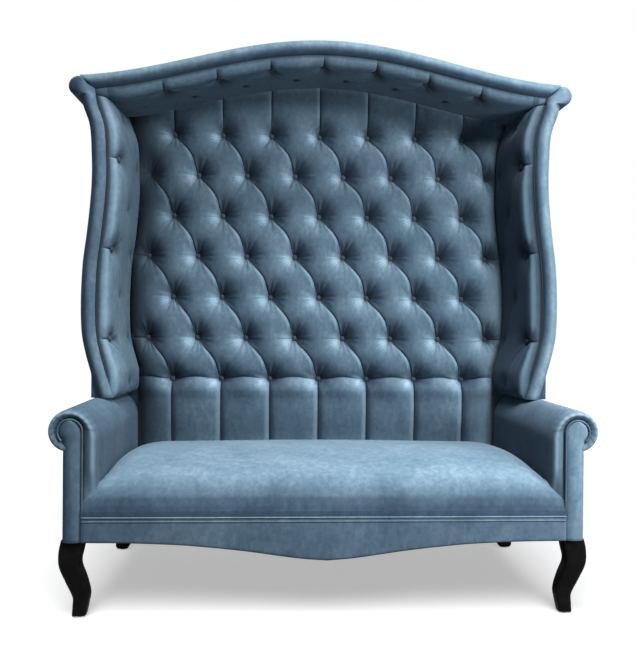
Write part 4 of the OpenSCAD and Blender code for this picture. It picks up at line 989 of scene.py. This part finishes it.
# Painted light by facing.
piece("seat_border", rings, fill=0.2, pile=(0.3, -0.2, 0.6))
# Each cord carries an even painted shade, the lower one more.
for name, level, shade in (("seat_cord_low", cord_low_z, 0.4), ("seat_cord_high", cord_high_z, 0.1)):
    path = [(at_x, cord_y, level) for at_x in np.linspace(-border_half, border_half, 120)]
    cord(name, path, cord_d / 2, shade, "seat_welt")

# Legs: carved cabriole legs in front and raked square ones behind, in black satin lacquer.
# Hanger bolts hold them to the corners of the seat frame, and they stand on nail-on glides.
lacquer = Finish("black_lacquer", Specular_IOR_Level=0.05, Coat_Weight=0.02, Coat_Roughness=0.22)
grain = lacquer.noise(1.0, 4, 0.55, 0.3, stretch=(120, 120, 9))
scuffs = lacquer.noise(38, 3, 0.6)
lacquer.give(
    Base_Color=lacquer.colours(scuffs, (0.3, (0.002, 0.002, 0.0025)), (0.8, (0.005, 0.0045, 0.0045))),
    Roughness=scuffs * 0.16 + 0.24)
lacquer.bump(grain, 0.12, 0.0008)
glide_t, knee_out, knee_depth, knee_round, square_round = 0.004, 0.052, 0.92, 4.5, 8
outer_shares = ((0, 0.26), (0.12, 0.24), (0.23, 0.24), (0.45, 0.54), (0.67, 0.82), (0.85, 0.85), (1, 0.76))
inner_shares = ((0, 0.46), (0.14, 0.57), (0.28, 0.64), (0.5, 0.48), (0.71, 0.27), (0.87, 0.37), (1, 0.46))
front_leg_x, front_leg_y = 0.676, -0.307
rear_leg_x, rear_foot_y, rear_rake, rear_w = 0.680, 0.3205, 0.010, 0.046
chamfer, chamfer_share = 0.005, 0.04


def rounded(x0, x1, y0, y1, z, power, points=32):
    """A section like a square with well rounded corners."""
    angles = np.linspace(0, 2 * np.pi, points + 1)[:-1]
    across, along = np.cos(angles), np.sin(angles)
    across = np.sign(across) * np.abs(across) ** (2 / power)
    along = np.sign(along) * np.abs(along) ** (2 / power)
    return np.stack([(x0 + x1) / 2 + (x1 - x0) / 2 * across, (y0 + y1) / 2 + (y1 - y0) / 2 * along,
                     np.full_like(across, z)], -1)


front_leg, rear_leg = [], []
for share in np.linspace(0, 1, 44):
    out = knee_out * float(smooth(outer_shares, share))
    into = knee_out * float(smooth(inner_shares, share))
    level = glide_t + (leg_h - glide_t) * share
    front_leg.append(rounded(front_leg_x - into, front_leg_x + out, front_leg_y - out * knee_depth,
                             front_leg_y + into * knee_depth, level, knee_round))
for share in np.concatenate([[0, 0.01, chamfer_share], np.linspace(0.06, 1, 20)]):
    half = rear_w / 2 - chamfer * max(0.0, 1 - share / chamfer_share)
    at_y = rear_foot_y + rear_rake * share
    level = glide_t + (leg_h - glide_t) * share
    rear_leg.append(rounded(rear_leg_x - half, rear_leg_x + half, at_y - half, at_y + half,
                            level, square_round))
for side, sign in sides:
    piece("front_leg_" + side, front_leg, None, sign, lacquer, "lacquered_wood")
    piece("rear_leg_" + side, rear_leg, None, sign, lacquer, "lacquered_wood")

# Frame: the hardwood, steel, hessian and foam inside keep their CAD shapes and take their real finish.
# The timber is planed hardwood, the steel zinc plated, and the lining under the seat a black felt.
timber = Finish("frame_timber", Roughness=0.7)
wood_rings = timber.noise(1.0, 5, 0.6, 1.2, stretch=(40, 40, 5))
timber.give(Base_Color=timber.colours(wood_rings, (0.3, (0.42, 0.27, 0.14)), (0.6, (0.60, 0.42, 0.24)),
                                      (0.8, (0.68, 0.50, 0.30))))
timber.bump(wood_rings, 0.2, 0.001)
steel = Finish("zinc_steel", Metallic=1.0)
dulling = steel.noise(60, 3)
steel.give(Base_Color=steel.colours(dulling, (0.3, (0.42, 0.42, 0.44)), (0.7, (0.62, 0.62, 0.63))),
           Roughness=dulling * 0.3 + 0.25)
hessian = Finish("hessian", Roughness=0.95)
threads = hessian.noise(1.0, stretch=(700, 60, 60)) + hessian.noise(1.0, stretch=(60, 700, 700))
hessian.give(
    Base_Color=hessian.colours(threads * 0.5, (0.35, (0.20, 0.15, 0.09)), (0.65, (0.46, 0.37, 0.24))))
hessian.bump(threads, 0.5, 0.001)
lining = Finish("black_lining", Roughness=0.95)
felt = lining.noise(500)
lining.give(Base_Color=lining.colours(felt, (0.3, (0.012, 0.012, 0.013)), (0.7, (0.035, 0.035, 0.037))))
lining.bump(felt, 0.3, 0.0005)
foam = Finish("foam", Roughness=0.9)
cells = foam.noise(700)
foam.give(Base_Color=foam.colours(cells, (0.3, (0.60, 0.52, 0.28)), (0.7, (0.80, 0.73, 0.48))))
foam.bump(cells, 0.6, 0.001)
by_node = {"dust_cover": lining, "seat_foam": foam, "spring_hessian": hessian, "back_webbing": hessian}
by_slot = {"frame_timber": timber, "steel": steel}
for part in frame["record"]["subparts"]:
    node = frame["nodes"][part["node"]]
    finish = by_node.get(part["node"]) or by_slot.get(part["material_slot"])
    if finish and not node.hide_render:
        node.data.materials.clear()
        node.data.materials.append(finish.material)
